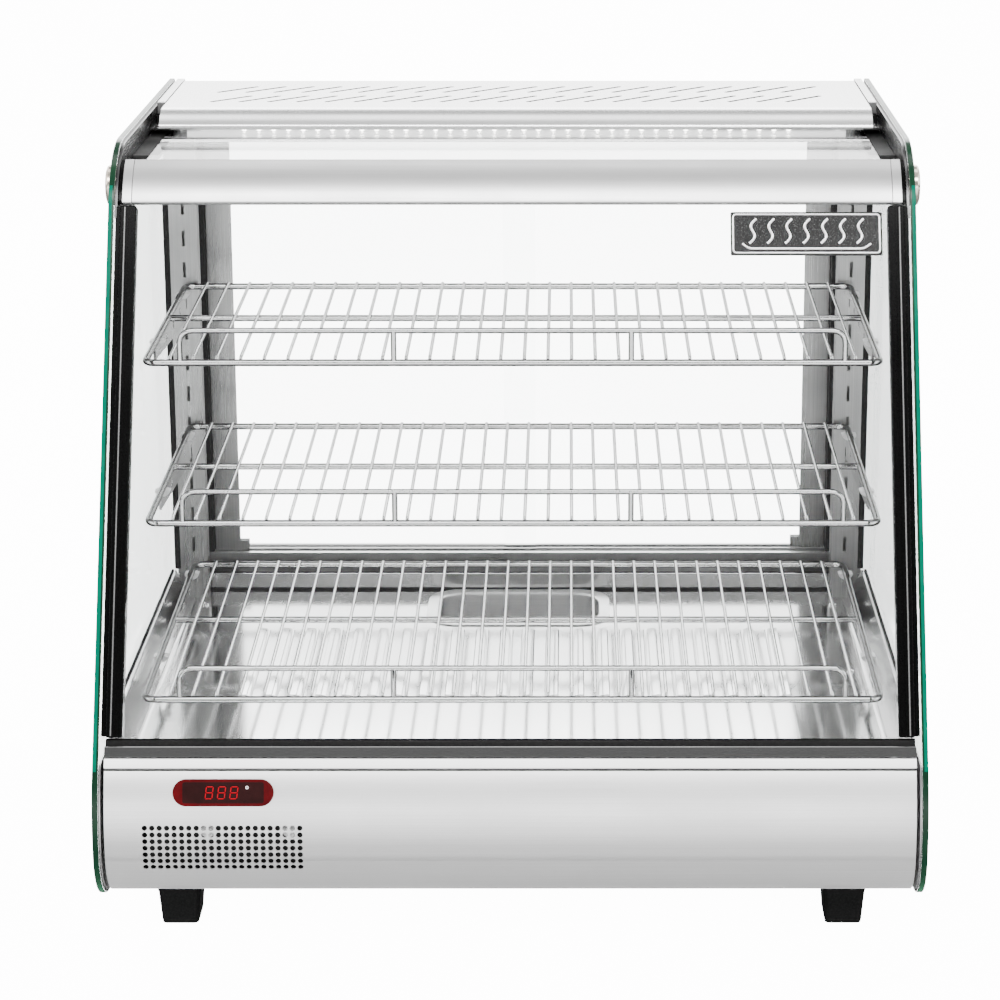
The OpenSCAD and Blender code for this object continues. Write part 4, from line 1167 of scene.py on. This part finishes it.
def wire_row(name, path, count, half_span, radius):
    """A row of bright wires, all bent like path."""
    line = bpy.data.meshes.new(name + "_line")
    line.from_pydata([Vector(p) * MM for p in path], [(i, i + 1) for i in range(len(path) - 1)], [])
    mesh = grown(name, line, WIRES, {"Count": count, "Half Span": half_span * MM, "Radius": radius * MM,
                                     "Sides": 10, "Material": CHROME})
    mesh.polygons.foreach_set("use_smooth", [True] * len(mesh.polygons))
    mesh.set_sharp_from_angle(angle=math.radians(50))
    return mesh


def shelf(index, body, node_name):
    """A wire shelf: frame, cross rod and front guard in thick rod, and a row of thin wires."""
    front, back = SHELF_FRONT[index], SHELF_BACK
    low = SHELF_Z[index] - (back - front) * SHELF_DROP
    middle = front + (back - front) * 0.56

    def at(x, y, lift=0.0):
        return Vector((x, y, low + (y - front) * SHELF_DROP + lift))
    bm = bmesh.new()
    corners = [at(-SHELF_HALF, front), at(SHELF_HALF, front), at(SHELF_HALF, back), at(-SHELF_HALF, back)]
    add_tube(bm, round_corners(corners, 10, 6, closed=True), FRAME_R, 14, closed=True)
    add_tube(bm, [at(-310, middle), at(310, middle)], CROSS_R, 14)
    guard = [at(-GUARD_HALF, front), at(-GUARD_HALF, front, GUARD_RISE),
             at(GUARD_HALF, front, GUARD_RISE), at(GUARD_HALF, front)]
    add_tube(bm, round_corners(guard, 14, 8), GUARD_R, 14)
    for x in (-100.3, 100.3):
        add_tube(bm, [at(x, front), at(x, front, GUARD_RISE)], GUARD_R, 14)
    for x in (-SHELF_HALF, SHELF_HALF):
        bead = bmesh.new()
        bmesh.ops.create_icosphere(bead, subdivisions=2, radius=3.2)
        join(bm, bead, Matrix.Translation(at(x, middle)) @ Matrix.Diagonal((0.8, 1.0, 0.9, 1)))
    piece(f"vis_{node_name}_frame", mesh_from(bm, node_name + "_frame", 50.0), body, "chrome_wire", ROD,
          replaces=(node_name,))
    dip = WIRE_LIFT - 1.6
    path = [at(0, front + 0.5, dip), at(0, front + 3, WIRE_LIFT),
            at(0, back - 3, WIRE_LIFT), at(0, back - 0.5, dip)]
    mesh = wire_row(node_name + "_wires", round_corners(path, 2, 3), WIRE_COUNT, WIRES_HALF, WIRE_R)
    piece(f"vis_{node_name}_wires", mesh, body, "chrome_wire", CHROME)


# ---------------------------------------------------------------- small parts

def clips():
    """Translucent saddles that cradle the shelf frames on the arms."""
    bm = bmesh.new()
    cup = arc((0, 0), 7.2, 195, 345, 10) + arc((0, 0), 3.1, 345, 195, 10)
    for k, reach in enumerate((250.0, 205.0, 205.0)):
        for d in (24.0, reach - 14.0):
            y = 162.0 - d
            z = SHELF_Z[k] - (SHELF_BACK - y) * SHELF_DROP
            for x in (-SHELF_HALF, SHELF_HALF):
                join(bm, prism(cup, -5, 5, 0.5, along_y=True), Matrix.Translation((x, y, z)))
    piece("vis_shelf_clips", mesh_from(bm, "shelf_clips", 40.0), "cabinet", "white_plastic", WHITE_PLASTIC,
          replaces=("shelf_clips",))


def screws():
    """Screws in the food floor, the top panel and the back."""
    floor = [((x, y, FLOOR_Z), (0, 0, 0)) for x, y in FLOOR_SCREWS]
    piece("vis_floor_screws", repeated("floor_screws", screw_shape(3.8, 2.3), floor, CHROME, 3.0),
          "cabinet", "polished_steel", CHROME, replaces=("floor_screws",))
    top = [((x, 262, TOP_Z - 0.5), (0, 0, 0)) for x in (-262, 262)]
    piece("vis_top_screws", repeated("top_screws", screw_shape(2.6, 0.5), top, CHROME, 3.0), "cabinet",
          "polished_steel", CHROME)
    back = [((x, REAR_Y, z), (math.radians(-90), 0, 0)) for x in (-318, -110, 110, 318) for z in (44, 146)]
    piece("vis_back_screws", repeated("back_screws", screw_shape(3.4, 2.0), back, CHROME, 3.0), "cabinet",
          "polished_steel", CHROME)


def seals():
    """Black seals between the pilasters and the side glass and along the skirts of the food well, and black
    strips over the rear sill.
    """
    bm = bmesh.new()
    for side in (-1, 1):
        add_side_box(bm, side, (325.3, 331.0), (163.5, 168.3), (171.0, 564), 1.2)
        add_side_box(bm, side, (331.4, 333.9), (-235, 160), (161, 169.5), 0.8)
    # Black strips across the top of the rear sill and where the food floor meets the sill.
    add_box(bm, (-310.5, 187.5, 156.6), (310.5, 221.0, 157.4), 0.3, 1)
    add_box(bm, (-311, 182.8, 140.1), (311, 184.8, 141.9), 0.4, 1)
    piece("vis_side_seals", mesh_from(bm, "side_seals"), "cabinet", "black_rubber", RUBBER)


def softened_frame():
    """Pieces whose CAD shape only needs its edges eased."""
    for name in ("pilaster_left", "pilaster_right"):
        soften(name, 0.6, STAINLESS_UP, "stainless")
    for name in ("rear_post_left", "rear_post_right"):
        soften(name, 0.8, ALUMINIUM_UP, "aluminium")
    soften("rear_sill", 0.5, BRIGHT, "stainless")
    soften("rear_head", 0.5, STAINLESS, "stainless")
    for name in ("lower_track", "upper_track"):
        soften(name, 0.3, TRACK, "aluminium")
    soften("top_trims", 0.8, BRIGHT_DEEP, "aluminium")
    soften("trim_plugs", 1.6, PLUG, "black_plastic", segments=3)
    soften("led_channel", 0.3, WHITE_METAL_PAINTED_GLOW, "aluminium")
    soften("glass_ledges", 0.3, LEDGE, "aluminium")
    for side in ("left", "right"):
        soften("bracket_arms_" + side, 0.25, POLISHED, "polished_steel")
        soften("top_cheek_" + side, 0.3, CHEEK_PAINTED_SHADE, "stainless")
        soften("base_side_" + side, 0.3, STAINLESS_BACK, "stainless")
        soften("rail_end_" + side, 0.5, RAIL_STEEL, "aluminium", "front_door")
        soften("rear_stile_" + side, 0.5, STAINLESS_UP, "aluminium", "rear_door_" + side)
    soften("base_rear_panel", 0.25, STAINLESS, "stainless")
    soften("base_pan", 0.25, STAINLESS, "stainless")
    soften("post_seals", 1.2, RUBBER, "black_rubber")
    soften("display_module", 0.6, PLASTIC, "black_plastic")
    soften("heating_element", 0.2, HEATER, "heater_metal", segments=1)
    soften("fan_frame", 0.5, PLASTIC, "black_plastic", segments=1)
    soften("power_gland", 0.5, PLASTIC, "black_plastic")
    soften("power_rocker", 0.7, GREEN_ROCKER, "green_rocker", "power_switch", 3)
    soften("light_rocker", 0.7, PLASTIC, "black_plastic", "light_switch", 3)
    soften("thermostat_knob", 0.6, PLASTIC, "black_plastic", "knob", 2)
    soften("fan_rotor", 0.4, PLASTIC, "black_plastic", "impeller", 1)


def paint_remaining():
    """Glass panes and the ceiling keep their CAD shape."""
    paints = {"front_glass": CLEAR, "top_glass": CLEAR, "rear_glass_left": CLEAR, "rear_glass_right": CLEAR,
              "ceiling_plate": POLISHED}
    for name, paint in paints.items():
        mesh = frame["nodes"][name].data
        mesh.materials.clear()
        mesh.materials.append(paint)


def paint_hidden():
    """Every CAD node gets the finish of the piece that stands for it."""
    by_slot = {"stainless": STAINLESS, "polished_steel": POLISHED, "aluminium": ALUMINIUM,
               "chrome_wire": CHROME, "clear_glass": CLEAR, "black_rubber": RUBBER,
               "black_plastic": PLASTIC, "white_plastic": WHITE_PLASTIC, "red_lens": LENS,
               "badge": BADGE_FACE, "led_white": LED, "heater_metal": HEATER, "green_rocker": GREEN_ROCKER}
    for entry in frame["record"]["subparts"]:
        mesh = frame["nodes"][entry["node"]].data
        mesh.materials.clear()
        mesh.materials.append(by_slot[entry["material_slot"]])


def rear_controls():
    """Bezels round the rockers, a scale ring behind the knob and its pointer."""
    bezels = bmesh.new()
    for x in ROCKER_XS:
        outer, inner = rounded_rect(26, 34, 3, 5), rounded_rect(20.4, 28.4, 1.5, 5)
        levels = [(outer, REAR_Y + 0.05), (rounded_rect(25, 33, 3, 5), REAR_Y + 1.6),
                  (rounded_rect(22, 30, 2, 5), REAR_Y + 2.0), (inner, REAR_Y + 1.5), (inner, REAR_Y + 0.05)]
        loft(bezels, [[bezels.verts.new((x - px, y, CONTROL_Z + pz)) for px, pz in shape]
                      for shape, y in levels], round_again=True)
    piece("vis_switch_bezels", mesh_from(bezels, "switch_bezels", 40.0), "cabinet", "black_plastic",
          PLASTIC)
    tick = bmesh.new()
    add_box(tick, (-0.5, -2.0, 0), (0.5, 2.0, 0.25), 0.08, 1)
    places = []
    for i in range(10):
        a = math.radians(-135 + 30 * i)
        where = (KNOB_X + 24 * math.sin(a), REAR_Y, CONTROL_Z + 24 * math.cos(a))
        places.append((where, (math.radians(-90), a, 0)))
    piece("vis_knob_scale", repeated("knob_scale", tick, places, PRINT), "cabinet", "black_plastic", PRINT)
    mark = bmesh.new()
    add_box(mark, (KNOB_X - 0.6, 296.9, CONTROL_Z + 5), (KNOB_X + 0.6, 297.25, CONTROL_Z + 16), 0.1, 1)
    piece("vis_knob_mark", mesh_from(mark, "knob_mark"), "knob", "white_plastic", WHITE_PLASTIC)


# ---------------------------------------------------------------- studio

def studio():
    """Pale floor that curves up into a backdrop, half a millimetre under the feet; sizes in metres."""
    bm = bmesh.new()
    line = [(-6.0, 0.0), (2.6, 0.0)] + arc((2.6, 1.2), 1.2, -81, 0, 8) + [(3.8, 3.4)]
    near, far = [[bm.verts.new((x, y, z - 0.0005)) for y, z in line] for x in (-7.0, 7.0)]
    for i in range(len(line) - 1):
        bm.faces.new((near[i], far[i], far[i + 1], near[i + 1]))
    bmesh.ops.recalc_face_normals(bm, faces=bm.faces)
    mesh = bpy.data.meshes.new("studio_floor")
    bm.to_mesh(mesh)
    bm.free()
    mesh.materials.append(studio_paper())
    in_scene("studio_floor", mesh)


def sky():
    """Soft studio surroundings: bright behind and above, darker behind the viewer."""
    world = bpy.data.worlds.new("studio")
    bpy.context.scene.world = world
    world.use_nodes = True
    tree = world.node_tree
    back = tree.nodes["Background"]
    where = node(tree, "ShaderNodeTexCoord")
    split = node(tree, "ShaderNodeSeparateXYZ", [(0, where.outputs["Generated"])])
    behind = node(tree, "ShaderNodeMapRange", [(0, split.outputs[1]), (1, -0.8), (2, -0.4)])
    front_stops = (0.0, 5.0), (0.08, 4.2), (0.16, 0.5), (0.60, 0.35), (0.75, 0.8), (0.93, 0.8), (1.0, 1.0)
    back_stops = (0.0, 0.45), (0.06, 0.6), (0.14, 5.0), (0.42, 4.2), (0.60, 0.8), (0.90, 0.7), (1.0, 1.2)
    bands = []
    for stops in (front_stops, back_stops):
        ramp = node(tree, "ShaderNodeValToRGB", [(0, split.outputs[2])])
        ends = ramp.color_ramp.elements
        ends[0].position, ends[0].color = stops[0][0], grey(stops[0][1])
        ends[1].position, ends[1].color = stops[-1][0], grey(stops[-1][1])
        for position, value in stops[1:-1]:
            ends.new(position).color = grey(value)
        bands.append(ramp)
    total = node(tree, "ShaderNodeMix",
                 [(0, behind.outputs[0]), (6, bands[0].outputs[0]), (7, bands[1].outputs[0])],
                 data_type="RGBA")
    tree.links.new(total.outputs[2], back.inputs["Color"])


def soft_box(name, place, aim, width, height, power):
    """A rectangular lamp that shines from place to aim and isn't seen itself."""
    light = bpy.data.lights.new(name, "AREA")
    light.shape = "RECTANGLE"
    light.size, light.size_y, light.energy = width, height, power
    made = in_scene(name, light)
    made.location = place
    made.rotation_euler = (Vector(aim) - Vector(place)).to_track_quat("-Z", "Y").to_euler()
    made.visible_camera = False
    return made


def lights():
    """Studio lamps; the fill reaches only the base front and its sill strip."""
    soft_box("key_front", (0.0, -1.92, 2.4), (0, 0, 0.3), 3.2, 0.6, 140)
    near = soft_box("front_fill", (0.0, -2.85, 1.75), (0, -0.29, 0.15), 3.2, 0.6, 55)
    lit = bpy.data.collections.new("base_front_steel")
    for name in ("vis_base_front", "vis_sill_strip"):
        lit.objects.link(bpy.data.objects[name])
    near.light_linking.receiver_collection = lit
    soft_box("overhead", (0.0, 0.35, 2.6), (0, 0.35, 0.0), 2.6, 0.8, 22)
    soft_box("back_sheet_light", (0, 2.4, 1.7), (0, 0.1, 0.5), 2.6, 1.0, 40)


def camera():
    """The view from in front, a little above."""
    lens = bpy.data.cameras.new("camera")
    lens.lens, lens.sensor_width = 102.06, 36.0
    lens.shift_x, lens.shift_y = -0.0684, -0.15
    eye = in_scene("camera", lens)
    eye.location = (0.046, -2.428, 1.046)
    eye.rotation_euler = (math.radians(75.71), 0, math.radians(-0.03))
    bpy.context.scene.camera = eye


paint_hidden()
base_front()
display()
feet()
side_glass("side_glass_left", -GLASS_OUT, -GLASS_IN)
side_glass("side_glass_right", GLASS_IN, GLASS_OUT)
printed_borders()
fascia_rail()
side_bars()
bar_lines()
front_stack()
badge()
hinge_caps()
top_sheet()
led_strip()
insulation()
food_floor()
water_pan()
shelf(0, "lower_shelf", "shelf_lower")
shelf(1, "middle_shelf", "shelf_middle")
shelf(2, "upper_shelf", "shelf_upper")
clips()
screws()
seals()
softened_frame()
rear_controls()
paint_remaining()
studio()
sky()
lights()
camera()
